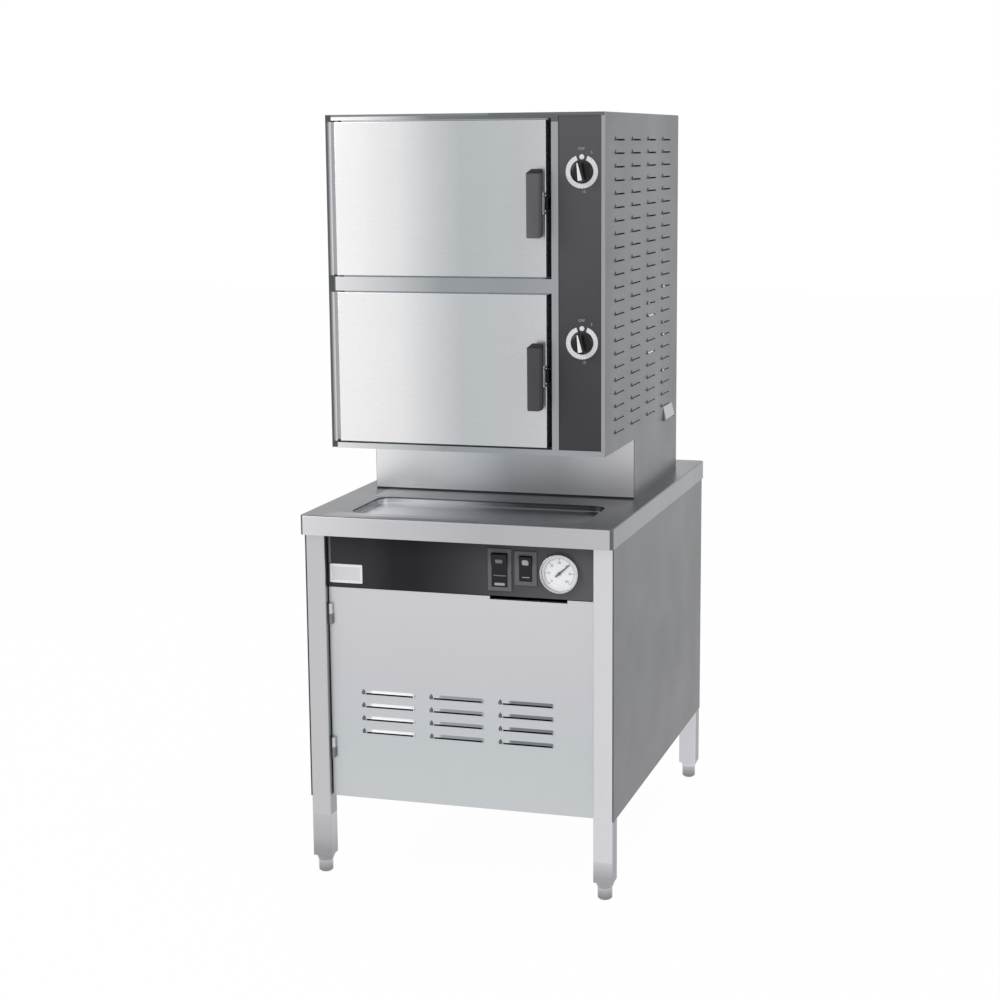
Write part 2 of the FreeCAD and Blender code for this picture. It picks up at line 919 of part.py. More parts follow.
def join_knuckle(pan, level):
    """Adds the door's half of a hinge: an eye that turns on the pin."""
    z0 = level + base_hinge_play
    z1 = level + base_hinge_height / 2
    x, y = base_hinge_x(), base_hinge_y()
    eye = rod(base_eye_radius, V(x, y, z0), V(x, y, z1))
    web = box(x - base_web / 2, x + base_web / 2, y, base_door_front + base_door_sheet, z0, z1)
    bore = rod(base_pin_radius + running_fit, V(x, y, z0 - 1), V(x, y, z1 + 1))
    return join(pan, eye, web).cut(bore)


def make_base_hinge(level):
    """The leg's half of a hinge: leaf, eye and upright pin in one."""
    half = base_hinge_height / 2
    x, y = base_hinge_x(), base_hinge_y()
    leaf = box(-leg_inner, -leg_inner + base_hinge_leaf, y - base_leaf_front, y + base_leaf_back,
               level - half, level + half)
    eye = rod(base_eye_radius, V(x, y, level - half), V(x, y, level))
    web = box(-leg_inner, x, y - base_web / 2, y + base_web / 2, level - half, level)
    pin = rod(base_pin_radius, V(x, y, level - half), V(x, y, level + half))
    return join(leaf, eye, web, pin)


def make_catch():
    """Magnetic catch on the right leg, just behind the door's edge."""
    z = (cabinet_bottom + base_door_top) / 2
    y0 = base_door_back + catch_gap
    return box(leg_inner - catch_width, leg_inner, y0, y0 + catch_depth,
               z - catch_height / 2, z + catch_height / 2)


# Control strip

def make_strip():
    """Black fascia under the rim, with folded ends and edges."""
    sheet = cabinet_sheet
    x = leg_inner - strip_side_gap
    outer = box(-x, x, strip_front, strip_front + strip_return, strip_bottom, strip_top)
    inner = box(-x + sheet, x - sheet, strip_front + sheet, strip_front + strip_return + 1.0,
                strip_bottom + sheet, strip_top - sheet)
    strip = outer.cut(inner)
    for x, z, rocker in ((power_x, power_z, power_rocker),
                         (drain_switch_x, drain_switch_z, drain_switch_rocker)):
        w = rocker[0] / 2 + rocker_side_gap + switch_wall
        h = rocker[1] / 2 + rocker_side_gap + switch_wall
        strip = strip.cut(box(x - w, x + w, strip_front - 1, strip_front + 3, z - h, z + h))
    hole = rod(gauge_radius - gauge_wall, V(gauge_x, strip_front - 1, gauge_z),
               V(gauge_x, strip_front + 3, gauge_z))
    return strip.cut(hole)


def rocker_axis_y():
    """The rockers' pivot line, just behind the fascia's face."""
    return strip_front + rocker_axis_in


def make_switch_case(x, z, frame, rocker):
    """Bezel and body of one rocker switch."""
    w, h = frame[0] / 2, frame[1] / 2
    cw = rocker[0] / 2 + rocker_side_gap
    ch = rocker[1] / 2 + rocker_side_gap
    bezel = rounded_box(x - w, x + w, strip_front - bezel_proud, strip_front, z - h, z + h, bezel_corner)
    body = box(x - cw - switch_wall, x + cw + switch_wall, strip_front - 0.5,
               strip_front + switch_depth, z - ch - switch_wall, z + ch + switch_wall)
    hollow = box(x - cw, x + cw, strip_front - bezel_proud - 1, strip_front + switch_depth - switch_wall,
                 z - ch, z + ch)
    pivot = rod(rocker_pivot + running_fit, V(x - cw - switch_wall / 2, rocker_axis_y(), z),
                V(x + cw + switch_wall / 2, rocker_axis_y(), z))
    return join(bezel, body).cut(hollow).cut(pivot)


def make_rocker(x, z, rocker):
    """A rocker with two faces that meet over its pivot, at off."""
    half_w, half_h = rocker[0] / 2, rocker[1] / 2
    lean = math.tan(math.radians(rocker_throw))
    crown = rocker_crown
    reach = half_h - rocker_end_gap
    outline = [(-crown, 0.0), (-crown - reach * lean, reach), (rocker_skirt, reach),
               (rocker_back, rocker_back_half), (rocker_back, -rocker_back_half), (rocker_skirt, -reach),
               (-crown - reach * lean, -reach)]
    body = prism_x(outline, -half_w, half_w)
    pin_end = half_w + rocker_side_gap + switch_wall / 2 - rocker_pin_gap
    pins = rod(rocker_pivot, V(-pin_end, 0, 0), V(pin_end, 0, 0))
    piece = join(body, pins)
    piece.rotate(V(0, 0, 0), V(1, 0, 0), rocker_throw)
    piece.translate(V(x, rocker_axis_y(), z))
    return piece


def make_gauge_case():
    """Round case with a raised ring, through the fascia."""
    at = V(gauge_x, strip_front, gauge_z)
    ring = rod(gauge_radius, at.sub(V(0, gauge_proud, 0)), at)
    ring = ring.makeFillet(gauge_round, edges_at(ring, "Y", strip_front - gauge_proud))
    body = rod(gauge_radius - gauge_wall - gauge_fit, at.sub(V(0, 1, 0)), at.add(V(0, gauge_depth, 0)))
    hollow = rod(gauge_radius - gauge_wall, at.sub(V(0, gauge_proud + 1, 0)), at.sub(V(0, 1, 0)))
    bearing = rod(spindle_radius + running_fit, at.sub(V(0, 2, 0)), at.add(V(0, 6, 0)))
    stub = rod(gauge_stub_radius, at.add(V(0, gauge_depth - 1, 0)),
               at.add(V(0, gauge_depth + gauge_stub_length, 0)))
    return join(ring, body).cut(hollow).cut(bearing).fuse(stub).removeSplitter()


def gauge_floor():
    """The plane on which the gauge's dial lies."""
    return strip_front - gauge_floor_in


def make_gauge_dial():
    """White dial disc with a hole for the spindle."""
    at = V(gauge_x, gauge_floor(), gauge_z)
    disc = rod(gauge_radius - gauge_wall - 0.2, at, at.sub(V(0, dial_sheet, 0)))
    return disc.cut(rod(spindle_radius + 0.4, at.add(V(0, 1, 0)), at.sub(V(0, dial_sheet + 1, 0))))


def make_needle():
    """Pointer with a short tail, on its spindle, at the pressure shown."""
    y0 = -dial_sheet - needle_lift
    y1 = y0 + needle_sheet
    w = needle_width / 2
    tip = needle_tip / 2
    blade = prism_y([(-needle_tail, -w), (0.0, -w), (needle_length, -tip), (needle_length, tip),
                     (0.0, w), (-needle_tail, w)], y0, y1)
    hub = rod(needle_hub, V(0, y0 - needle_hub_rise, 0), V(0, y1, 0))
    spindle = rod(spindle_radius, V(0, y0, 0), V(0, spindle_length, 0))
    needle = join(blade, hub, spindle)
    needle.rotate(V(0, 0, 0), V(0, 1, 0), -needle_angle)
    needle.translate(V(gauge_x, gauge_floor(), gauge_z))
    return needle


def make_lens():
    """Glass disc in the mouth of the gauge's ring."""
    y0 = strip_front - gauge_proud + lens_in
    return rod(gauge_radius - gauge_wall - 0.1, V(gauge_x, y0, gauge_z),
               V(gauge_x, y0 + lens_thickness, gauge_z))


# Boiler

def boiler_form(radius, growth):
    """A drum with domed ends, standing at the boiler's place."""
    z0, z1 = boiler_bottom - growth, boiler_top + growth
    rise = dome_height
    drum = rod(radius, V(boiler_x, boiler_y, z0 + rise), V(boiler_x, boiler_y, z1 - rise))
    ball = (radius * radius + rise * rise) / (2 * rise)
    caps = []
    for sign, z in ((1, z1 - rise), (-1, z0 + rise)):
        sphere = Part.makeSphere(ball, V(boiler_x, boiler_y, z - sign * (ball - rise)))
        low, high = sorted((z, z + sign * rise))
        slab = box(boiler_x - radius - 1, boiler_x + radius + 1, boiler_y - radius - 1,
                   boiler_y + radius + 1, low, high)
        caps.append(sphere.common(slab))
    return join(drum, *caps)


def nozzle_rod(radius, y0, y1):
    """A bar along the heater nozzle's axis."""
    return rod(radius, V(boiler_x, y0, nozzle_z), V(boiler_x, y1, nozzle_z))


def nozzle_face():
    """The plane of the heater nozzle's flange."""
    return boiler_y - boiler_radius - nozzle_length


def make_boiler():
    """Pressure vessel on a skirt, with a flanged nozzle for the heaters."""
    outer = boiler_form(boiler_radius, 0.0)
    inner = boiler_form(boiler_radius - boiler_wall, -boiler_wall)
    neck = nozzle_rod(nozzle_radius, nozzle_face(), boiler_y - boiler_radius * neck_share)
    rim = nozzle_rod(flange_radius, nozzle_face(), nozzle_face() + flange_thickness)
    skirt = tube(skirt_radius, skirt_radius - skirt_sheet, V(boiler_x, boiler_y, shelf_top),
                 V(boiler_x, boiler_y, boiler_bottom + dome_height))
    spout = rod(steam_pipe + spout_wall, V(boiler_x, boiler_y, boiler_top - 6.0),
                V(boiler_x, boiler_y, boiler_top + spout_length))
    tap = rod(safety_radius + tap_wall, safety_place(boiler_top - 14.0), safety_place(boiler_top + tap_rise))
    port = rod(water_pipe + port_wall, V(boiler_x, boiler_y + boiler_radius - 12.0, fill_z),
               V(boiler_x, water_port_y(), fill_z))
    shell = join(outer, neck, rim, skirt, spout, tap, port).cut(inner)
    shell = shell.cut(rod(water_pipe, V(boiler_x, boiler_y + boiler_radius - 20.0, fill_z),
                          V(boiler_x, water_port_y() + 1.0, fill_z)))
    shell = shell.cut(nozzle_rod(nozzle_radius - boiler_wall, nozzle_face() - 1,
                                 boiler_y - boiler_radius * neck_share + 1))
    shell = shell.cut(rod(steam_pipe - pipe_wall, V(boiler_x, boiler_y, boiler_top - 12),
                          V(boiler_x, boiler_y, boiler_top + 20)))
    shell = shell.cut(rod(6.0, safety_place(boiler_top - 30.0), safety_place(boiler_top + 20.0)))
    window = box(boiler_x - skirt_window / 2, boiler_x + skirt_window / 2, boiler_y - boiler_radius,
                 boiler_y - skirt_radius / 2, shelf_top + 8.0, boiler_bottom - 12.0)
    drain_port = rod(drain_pipe + pipe_gap, V(boiler_x, boiler_y, boiler_bottom - 20),
                     V(boiler_x, boiler_y, boiler_bottom + 20))
    return shell.cut(window).cut(drain_port)


def safety_place(z):
    """A point on the safety valve's axis."""
    return V(boiler_x + safety_offset, boiler_y - safety_forward, z)


def make_jacket():
    """Insulation round the drum, open where the nozzle comes through."""
    inner = boiler_radius + jacket_clearance
    sleeve = tube(inner + jacket_thickness, inner, V(boiler_x, boiler_y, boiler_bottom + dome_height),
                  V(boiler_x, boiler_y, boiler_top - dome_height))
    sleeve = sleeve.cut(nozzle_rod(nozzle_radius + 2.0, nozzle_face(), boiler_y))
    return sleeve.cut(rod(water_pipe + 6.0, V(boiler_x, boiler_y, fill_z), V(boiler_x, water_port_y(), fill_z)))


def water_port_y():
    """The end face of the boiler's water port, outside the jacket."""
    return boiler_y + boiler_radius + jacket_thickness + 8.0


def make_heaters():
    """Three hairpin elements on one bolted flange."""
    y0 = nozzle_face()
    plate = nozzle_rod(flange_radius, y0 - flange_thickness, y0)
    cover = nozzle_rod(flange_radius - terminal_cover_in, y0 - flange_thickness - terminal_cover_length,
                       y0 - flange_thickness + 1.0)
    pieces = [plate, cover]
    tip = y0 + element_reach
    for index in (-1, 0, 1):
        x = boiler_x + index * element_spacing
        high, low = nozzle_z + element_bend / 2, nozzle_z - element_bend / 2
        for z in (low, high):
            pieces.append(rod(element_radius, V(x, y0 - 2, z), V(x, tip, z)))
        bend = Part.makeTorus(element_bend / 2, element_radius, V(x, tip, nozzle_z), V(1, 0, 0))
        half = bend.common(box(x - 10, x + 10, tip, tip + element_bend, low - 20, high + 20))
        pieces.append(half)
    return join(*pieces)


def make_safety_valve():
    """Spring valve with a discharge elbow and a lifting lever."""
    z = boiler_top + tap_rise
    base = rod(safety_radius, safety_place(z), safety_place(z + safety_height * 0.45))
    bonnet = rod(safety_radius * 0.75, safety_place(z + safety_height * 0.4),
                 safety_place(z + safety_height * 0.85))
    stem = rod(safety_stem, safety_place(z + safety_height * 0.8), safety_place(z + safety_height))
    middle = safety_place(z + safety_height * 0.25)
    side = tube(*safety_outlet, middle, middle.add(V(safety_arm, 0, 0)))
    lever = box(middle.x - 4, middle.x + safety_arm, middle.y - 4, middle.y + 4,
                z + safety_height * 0.9, z + safety_height * 0.9 + 3.0)
    return join(base, side, bonnet, stem, lever)


def drain_z():
    """Height of the boiler's drain line."""
    return shelf_top + skirt_height - drain_drop


def valve_y():
    """Where the drain valve sits on its line, in front of the boiler."""
    return boiler_y - skirt_radius - valve_ahead


def make_drain_valve():
    """Ball valve on the blow-down line, with a bore for its stem."""
    z = drain_z()
    y = valve_y()
    body = rod(valve_body, V(boiler_x, y - valve_length / 2, z), V(boiler_x, y + valve_length / 2, z))
    port = drain_pipe - pipe_wall
    body = body.cut(rod(port, V(boiler_x, y - valve_length, z), V(boiler_x, y + valve_length, z)))
    ball = Part.makeSphere(valve_body - 2.0, V(boiler_x, y, z))
    neck = rod(valve_neck, V(boiler_x, y, z), V(boiler_x, y, z + valve_body + valve_neck_length))
    piece = join(body, neck, ball)
    return piece.cut(rod(valve_stem + running_fit, V(boiler_x, y, z + 4.0),
                         V(boiler_x, y, z + valve_body + 20)))


def make_drain_lever():
    """Quarter-turn lever, across the line when the valve is shut."""
    z = drain_z() + valve_body + valve_neck_length + lever_gap
    y = valve_y()
    stem = rod(valve_stem, V(boiler_x, y, drain_z() + 4.5), V(boiler_x, y, z + lever_thickness))
    arm = box(boiler_x - lever_tail, boiler_x + lever_length, y - lever_width / 2, y + lever_width / 2,
              z, z + lever_thickness)
    nut = rod(lever_nut, V(boiler_x, y, z), V(boiler_x, y, z + lever_thickness + lever_nut_height))
    return join(stem, arm, nut)


def make_fill_valve():
    """Solenoid valve on the rear panel, with a threaded water inlet."""
    half = fill_block / 2
    y1 = rear_rail_y()
    body = box(fill_x - half, fill_x + half, y1 - fill_block, y1, fill_z - half, fill_z + half)
    inlet = rod(inlet_bore + inlet_wall, V(fill_x, y1 - 1, fill_z),
                V(fill_x, leg_back + connection_proud, fill_z))
    coil = rod(coil_radius, V(fill_x, y1 - half, fill_z + half - 1),
               V(fill_x, y1 - half, fill_z + half + coil_height))
    outlet = rod(fill_outlet, V(fill_x, y1 - fill_block + 1, fill_z),
                 V(fill_x, y1 - fill_block - fill_outlet_length, fill_z))
    bore = rod(inlet_bore, V(fill_x, leg_back + connection_proud - inlet_length, fill_z),
               V(fill_x, back, fill_z))
    return join(body, inlet, coil, outlet).cut(bore)


def make_contactor_box():
    """Electrical box with two contactors and a terminal strip."""
    x1 = leg_x - leg_size / 2 - rail_width / 2
    sheet = contactor_plate
    x0 = x1 - sheet
    y0 = contactor_y - contactor_depth / 2
    y1 = contactor_y + contactor_depth / 2
    z1 = contactor_z + contactor_height
    plate = box(x0, leg_x, y0, y1, contactor_z, z1)
    plate = plate.cut(box(x1, leg_x - sheet, y0 - 1, y1 + 1, contactor_z - 1, z1 + 1))
    webs = [box(x0, leg_x, y0, y0 + sheet, contactor_z, z1), box(x0, leg_x, y1 - sheet, y1, contactor_z, z1)]
    blocks = []
    half, nose = contactor_block / 2, contactor_nose / 2
    face = x0 - contactor_width
    top = z1 - contactor_top_gap
    middle = top - contactor_block_height / 2
    for place in (0.3, 0.7):
        y = y0 + contactor_depth * place
        blocks.append(box(face, x0, y - half, y + half, top - contactor_block_height, top))
        blocks.append(box(face - contactor_width * 0.2, face + 1, y - nose, y + nose,
                          middle - contactor_nose_height / 2, middle + contactor_nose_height / 2))
    strip = box(x0 - contactor_width * 0.4, x0, y0 + half / 2, y1 - half / 2,
                contactor_z + contactor_top_gap, contactor_z + contactor_height * 0.24)
    return join(plate, *(webs + blocks + [strip]))


# Pipes between the boiler and the compartments

def riser_x():
    """The steam riser's line in the control column."""
    return motor_x + riser_space


def drain_riser_x():
    """The drain riser's line, beside the compartments."""
    return motor_x + drain_riser_space


def steam_y():
    """The steam riser's place from front to back."""
    return cavity_back - steam_from_back


def drain_y():
    """The drain riser's place from front to back."""
    return cavity_back - drain_hole_from_back


def drain_x_of_cavity():
    """The floor drain's place from side to side."""
    return cavity_right - fan_space - drain_hole_from_fan


def steam_branch_z(door_z):
    """Height at which steam enters a compartment."""
    return door_z + mouth_overlap + cavity_height * steam_level


def make_steam_pipes():
    """Riser from the boiler's spout, with a tee and a branch to each compartment."""
    outer, inner = steam_pipe, steam_pipe - pipe_wall
    top = steam_branch_z(upper_door_z)
    low = steam_branch_z(lower_door_z)
    across = worktop_height + pedestal_height / 2
    x, y = riser_x(), steam_y()
    end_x = motor_x - pipe_entry
    spout_top = boiler_top + spout_length
    riser = pipe_way(outer, inner, [V(boiler_x, boiler_y, spout_top), V(boiler_x, boiler_y, across),
                                    V(x, boiler_y, across), V(x, y, across), V(x, y, low - tee_reach)],
                     pipe_bend)
    tee = pipe_tee(outer, inner, V(x, y, low), V(0, 0, 1), V(-1, 0, 0))
    branch = tube(outer, inner, V(x - tee_reach, y, low), V(end_x, y, low))
    upper = pipe_way(outer, inner, [V(x, y, low + tee_reach), V(x, y, top), V(end_x, y, top)], pipe_bend)
    return riser + [tee, branch] + upper


def make_drain_pipes():
    """Drains of both compartments, joined to the blow-down line and its outlet."""
    outer, inner = drain_pipe, drain_pipe - pipe_wall
    x, y = drain_x_of_cavity(), drain_y()
    down_x = drain_riser_x()
    low_floor = lower_door_z + mouth_overlap
    high_floor = upper_door_z + mouth_overlap
    across = worktop_height + pedestal_height * drain_cross_level
    z = drain_z()
    under = rim_bottom - drain_under_rim
    turn = high_floor - cavity_sheet - drain_turn
    upper = pipe_way(outer, inner, [V(x, y, high_floor), V(x, y, turn), V(down_x, y, turn),
                                    V(down_x, y, across + tee_reach)], pipe_bend)
    high_tee = pipe_tee(outer, inner, V(down_x, y, across), V(0, 0, 1), V(-1, 0, 0))
    branch = pipe_way(outer, inner, [V(x, y, low_floor), V(x, y, across), V(down_x - tee_reach, y, across)],
                      pipe_bend)
    lower = pipe_way(outer, inner, [V(down_x, y, across - tee_reach), V(down_x, y, under), V(outlet_x, y, under),
                                    V(outlet_x, y, z + tee_reach)], pipe_bend)
    low_tee = pipe_tee(outer, inner, V(outlet_x, y, z), V(0, 1, 0), V(0, 0, 1))
    y1 = valve_y() - valve_length / 2
    y2 = y1 - outlet_turn
    outlet = pipe_way(outer, inner, [V(boiler_x, y1, z), V(boiler_x, y2, z), V(outlet_x, y2, z),
                                     V(outlet_x, y - tee_reach, z)], pipe_bend)
    end_y = leg_back + connection_proud
    socket_y = end_y - socket_depth - socket_floor
    last = tube(outer, inner, V(outlet_x, y + tee_reach, z), V(outlet_x, socket_y, z))
    socket = tube(socket_radius, inner, V(outlet_x, socket_y, z), V(outlet_x, end_y, z))
    socket = socket.cut(rod(outer, V(outlet_x, end_y - socket_depth, z), V(outlet_x, end_y + 1.0, z)))
    return upper + [high_tee] + branch + lower + [low_tee] + outlet + [last, socket]


def make_blow_down():
    """Pipe from the boiler's foot to the drain valve."""
    z = drain_z()
    points = [V(boiler_x, boiler_y, boiler_bottom + 2.0), V(boiler_x, boiler_y, z),
              V(boiler_x, valve_y() + valve_length / 2, z)]
    return pipe_way(drain_pipe, drain_pipe - pipe_wall, points, pipe_bend)


def make_water_pipe():
    """Feed pipe from the fill valve to the boiler."""
    y1 = rear_rail_y() - fill_block - fill_outlet_length
    y2 = (y1 + water_port_y()) / 2
    points = [V(fill_x, y1, fill_z), V(fill_x, y2, fill_z), V(boiler_x, y2, fill_z),
              V(boiler_x, water_port_y(), fill_z)]
    return pipe_way(water_pipe, water_pipe - 1.0, points, pipe_bend)


# Pedestal and the upper cabinet's sheets

def make_pedestal():
    """Sleeve between worktop and cabinet, with bolting flanges."""
    sheet, flange = pedestal_sheet, pedestal_flange
    x = unit_x - unit_sheet
    y = unit_back - unit_sheet
    outer = box(-x, x, pedestal_front, y, worktop_height, unit_bottom)
    inner = box(-x + sheet, x - sheet, pedestal_front + sheet, y - sheet,
                worktop_height + sheet, unit_bottom - sheet)
    mouth = box(-x + flange, x - flange, pedestal_front + flange, y - flange,
                worktop_height - 1, unit_bottom + 1)
    return without(outer.cut(inner).cut(mouth), *screw_holes(pedestal_screws()))


def make_side(lips):
    """Right side sheet over the pedestal's side; lips are its front edges, as (width, low, high)."""
    sheet = unit_sheet
    y1 = unit_back - rear_wrap - 0.2
    top = unit_top - sheet
    plate = prism_x([(unit_front, unit_bottom), (unit_front, top), (y1, top), (y1, worktop_height),
                     (pedestal_front, worktop_height), (pedestal_front, unit_bottom)],
                    unit_x - sheet, unit_x)
    turned = [box(unit_x - width, unit_x, unit_front, unit_front + sheet, low, high)
              for width, low, high in lips]
    return join(plate, *turned)


def make_left_side():
    """Left side sheet; its front edge stops at the three hinge blocks."""
    return mirrored(make_side([(left_return, z, z + door_height) for z in (lower_door_z, upper_door_z)]))


def make_right_side():
    """Right side sheet with its field of small louvres."""
    plate = make_side([(side_return, sill_top, unit_top - top_edge)])
    hood, hole = louvre(side_louvre_length, side_louvre_height, side_louvre_proud,
                        side_louvre_slot, unit_sheet)
    hoods = []
    holes = []
    for source, found in ((hood, hoods), (hole, holes)):
        source.rotate(V(0, 0, 0), V(0, 0, 1), 90)
        for column in range(side_louvre_columns):
            y = unit_front + side_louvre_first + column * side_louvre_spacing
            for row in range(side_louvre_rows):
                z = side_louvre_lowest + row * side_louvre_pitch
                found.append(moved(source, unit_x, y, z))
    return without(plate.fuse(hoods), *[Part.makeCompound(holes)])


def make_rear():
    """Rear sheet, wrapped round both corners, with vent slots."""
    sheet = unit_sheet
    z0, z1 = worktop_height, unit_top - sheet
    outer = box(-unit_x, unit_x, unit_back - rear_wrap, unit_back, z0, z1)
    inner = box(-unit_x + sheet, unit_x - sheet, unit_back - rear_wrap - 1, unit_back - sheet, z0 - 1, z1 + 1)
    rear = outer.cut(inner)
    slots = []
    for row in range(vent_rows):
        z = vent_lowest + row * vent_pitch
        x = (motor_x + unit_x) / 2
        slots.append(box(x - vent_length / 2, x + vent_length / 2, unit_back - 3, unit_back + 1,
                         z, z + vent_height))
    return without(rear, *(slots + screw_holes(unit_rear_screws())))


def make_top():
    """Top sheet with a front edge and a rear flange turned down."""
    sheet = unit_sheet
    plate = box(-unit_x, unit_x, unit_front, unit_back, unit_top - sheet, unit_top)
    edge = box(left_end, unit_x - sheet, unit_front, unit_front + sheet, unit_top - top_edge, unit_top)
    x = unit_x - 2 * sheet
    flange = box(-x, x, unit_back - 2 * sheet, unit_back - sheet, unit_top - rear_flange, unit_top)
    return without(join(plate, edge, flange), *screw_holes(unit_rear_screws()))


def make_base_pan():
    """Bottom sheet with a front edge, a rear flange and a pipe opening."""
    sheet = unit_sheet
    x = unit_x - sheet
    y1 = unit_back - sheet
    plate = box(-x, x, unit_front, y1, unit_bottom, unit_bottom + sheet)
    edge = box(left_end, x, unit_front, unit_front + sheet, unit_bottom, sill_top)
    flange = box(-x + sheet, x - sheet, y1 - sheet, y1, unit_bottom, unit_bottom + rear_flange)
    margin = pan_opening_margin
    opening = box(drain_x_of_cavity() - margin, riser_x() + margin,
                  drain_y() - margin - 4.0, steam_y() + margin,
                  unit_bottom - 1, unit_bottom + 3)
    return without(join(plate, edge, flange), opening, *screw_holes(unit_rear_screws()))


def make_face_frame():
    """Front frame round both mouths, with the head strip, mullion and column post."""
    sheet = frame_sheet
    z0, z1 = unit_bottom + unit_sheet, unit_top - unit_sheet
    plate = box(-unit_x + unit_sheet, post_x + post_sheet, frame_front, frame_back, z0, z1)
    for door_z in (lower_door_z, upper_door_z):
        plate = plate.cut(mouth(door_z))
    x1 = post_x + 0.1
    y1 = frame_front + 0.1
    bar = box(left_end, x1, unit_front, y1, mullion_bottom, mullion_top)
    bar = bar.cut(box(left_end - 1, post_x + 2, unit_front + post_sheet, frame_front,
                      mullion_bottom + post_sheet, mullion_top - post_sheet))
    head = box(left_end, x1, unit_front, y1, head_bottom, head_bottom + post_sheet)
    head_face = box(left_end, x1, unit_front, unit_front + post_sheet, head_bottom, unit_top - top_edge)
    wall = box(post_x, post_x + post_sheet, unit_front + unit_sheet, y1, z0, z1)
    trim = box(post_x, panel_left, unit_front, unit_front + unit_sheet, sill_top, unit_top - top_edge)
    lip = box(post_x, post_x + post_sheet, unit_front, unit_front + unit_sheet + 0.5,
              sill_top, unit_top - top_edge)
    frame = join(plate, bar, head, head_face, wall, trim, lip)
    return frame.cut(rod(hinge_pin + hinge_clear, V(hinge_x, hinge_y, mullion_bottom - 1),
                         V(hinge_x, hinge_y, unit_top)))


def mouth(door_z):
    """A block through the frame, the size of one compartment's mouth."""
    return box(cavity_left, cavity_right, frame_front - 1, frame_back + 1,
               door_z + mouth_overlap, door_z + mouth_overlap + cavity_height)


def make_cavity(door_z):
    """Welded sheets of one compartment; four carry the flange round its mouth."""
    sheet, flange = cavity_sheet, cavity_flange
    x0, x1 = cavity_left, cavity_right
    y0, y1 = frame_back, cavity_back
    z0 = door_z + mouth_overlap
    z1 = z0 + cavity_height
    rear = box(x0 - sheet, x1 + sheet, y1, y1 + sheet, z0 - sheet, z1 + sheet)
    left = join(box(x0 - sheet, x0, y0, y1, z0 - sheet, z1 + sheet),
                box(x0 - flange, x0, y0, y0 + sheet, z0 - flange, z1 + flange))
    right = join(box(x1, x1 + sheet, y0, y1, z0 - sheet, z1 + sheet),
                 box(x1, x1 + flange, y0, y0 + sheet, z0 - flange, z1 + flange))
    floor = join(box(x0, x1, y0, y1, z0 - sheet, z0), box(x0, x1, y0, y0 + sheet, z0 - flange, z0))
    roof = join(box(x0, x1, y0, y1, z1, z1 + sheet), box(x0, x1, y0, y0 + sheet, z1, z1 + flange))
    middle = (z0 + z1) / 2
    branch = steam_branch_z(door_z)
    shaft = rod(shaft_hole, V(x1 - 2, fan_y, middle), V(x1 + 4, fan_y, middle))
    steam = rod(steam_pipe + pipe_gap, V(x1 - 2, steam_y(), branch), V(x1 + 4, steam_y(), branch))
    drain = rod(drain_pipe + pipe_gap, V(drain_x_of_cavity(), drain_y(), z0 - 4),
                V(drain_x_of_cavity(), drain_y(), z0 + 2))
    return [rear, left, without(right, shaft, steam), floor.cut(drain), roof]


def make_insulation():
    """Slabs under, between, over, beside and behind the compartments."""
    gap = insulation_gap
    x0, x1 = cavity_left - cavity_sheet, cavity_right + cavity_sheet
    y0, y1 = frame_back + 14.0, cavity_back + cavity_sheet
    floor = unit_bottom + unit_sheet
    roof = unit_top - unit_sheet
    low0 = lower_door_z + mouth_overlap - cavity_sheet
    low1 = lower_door_z + mouth_overlap + cavity_height + cavity_sheet
    high0 = upper_door_z + mouth_overlap - cavity_sheet
    high1 = upper_door_z + mouth_overlap + cavity_height + cavity_sheet
    bottom = box(x0, x1, y0, y1, floor + gap, low0 - gap)
    middle = box(x0, x1, y0, y1, low1 + gap, high0 - gap)
    top = box(x0, x1, y0, y1, high1 + gap, roof - gap)
    left = box(-unit_x + unit_sheet + gap, x0 - gap, y0, y1, floor + gap, roof - gap)
    rear = box(x0, x1, y1 + gap, unit_back - screw_length - 2 * gap, floor + gap, roof - gap)
    pipe_way = drain_pipe + 3.0
    slot = box(drain_x_of_cavity() - pipe_way, x1 + 1, drain_y() - pipe_way, drain_y() + pipe_way,
               low1, high0)
    hole = rod(pipe_way, V(drain_x_of_cavity(), drain_y(), floor), V(drain_x_of_cavity(), drain_y(), low0))
    return [bottom.cut(hole), middle.cut(slot), top, left, rear]


def ledges(face, way, z0, y0, y1):
    """Pan ledges, each one welded on a guide plate's face."""
    found = []
    for index in range(guide_count):
        z = z0 + guide_first + index * guide_pitch
        a, b = sorted((face, face + way * guide_ledge))
        found.append(box(a, b, y0, y1, z, z + guide_sheet))
    return found


def make_left_guide(door_z):
    """Pan rack on the left wall: a plate on four studs, and its ledges."""
    z0 = door_z + mouth_overlap
    z1 = z0 + cavity_height
    y0, y1 = frame_back + guide_end_gap, cavity_back - guide_edge_gap
    x = cavity_left + guide_gap
    plate = box(x, x + guide_sheet, y0, y1, z0 + guide_edge_gap, z1 - guide_edge_gap)
    studs = []
    for y in (y0 + guide_stud_in, y1 - guide_stud_in):
        for z in (z0 + guide_edge_gap + guide_stud_level, z1 - guide_edge_gap - guide_stud_level):
            studs.append(rod(guide_stud, V(cavity_left, y, z), V(x + 0.5, y, z)))
    return [join(plate, *studs)] + ledges(x + guide_sheet, 1, z0, y0, y1)


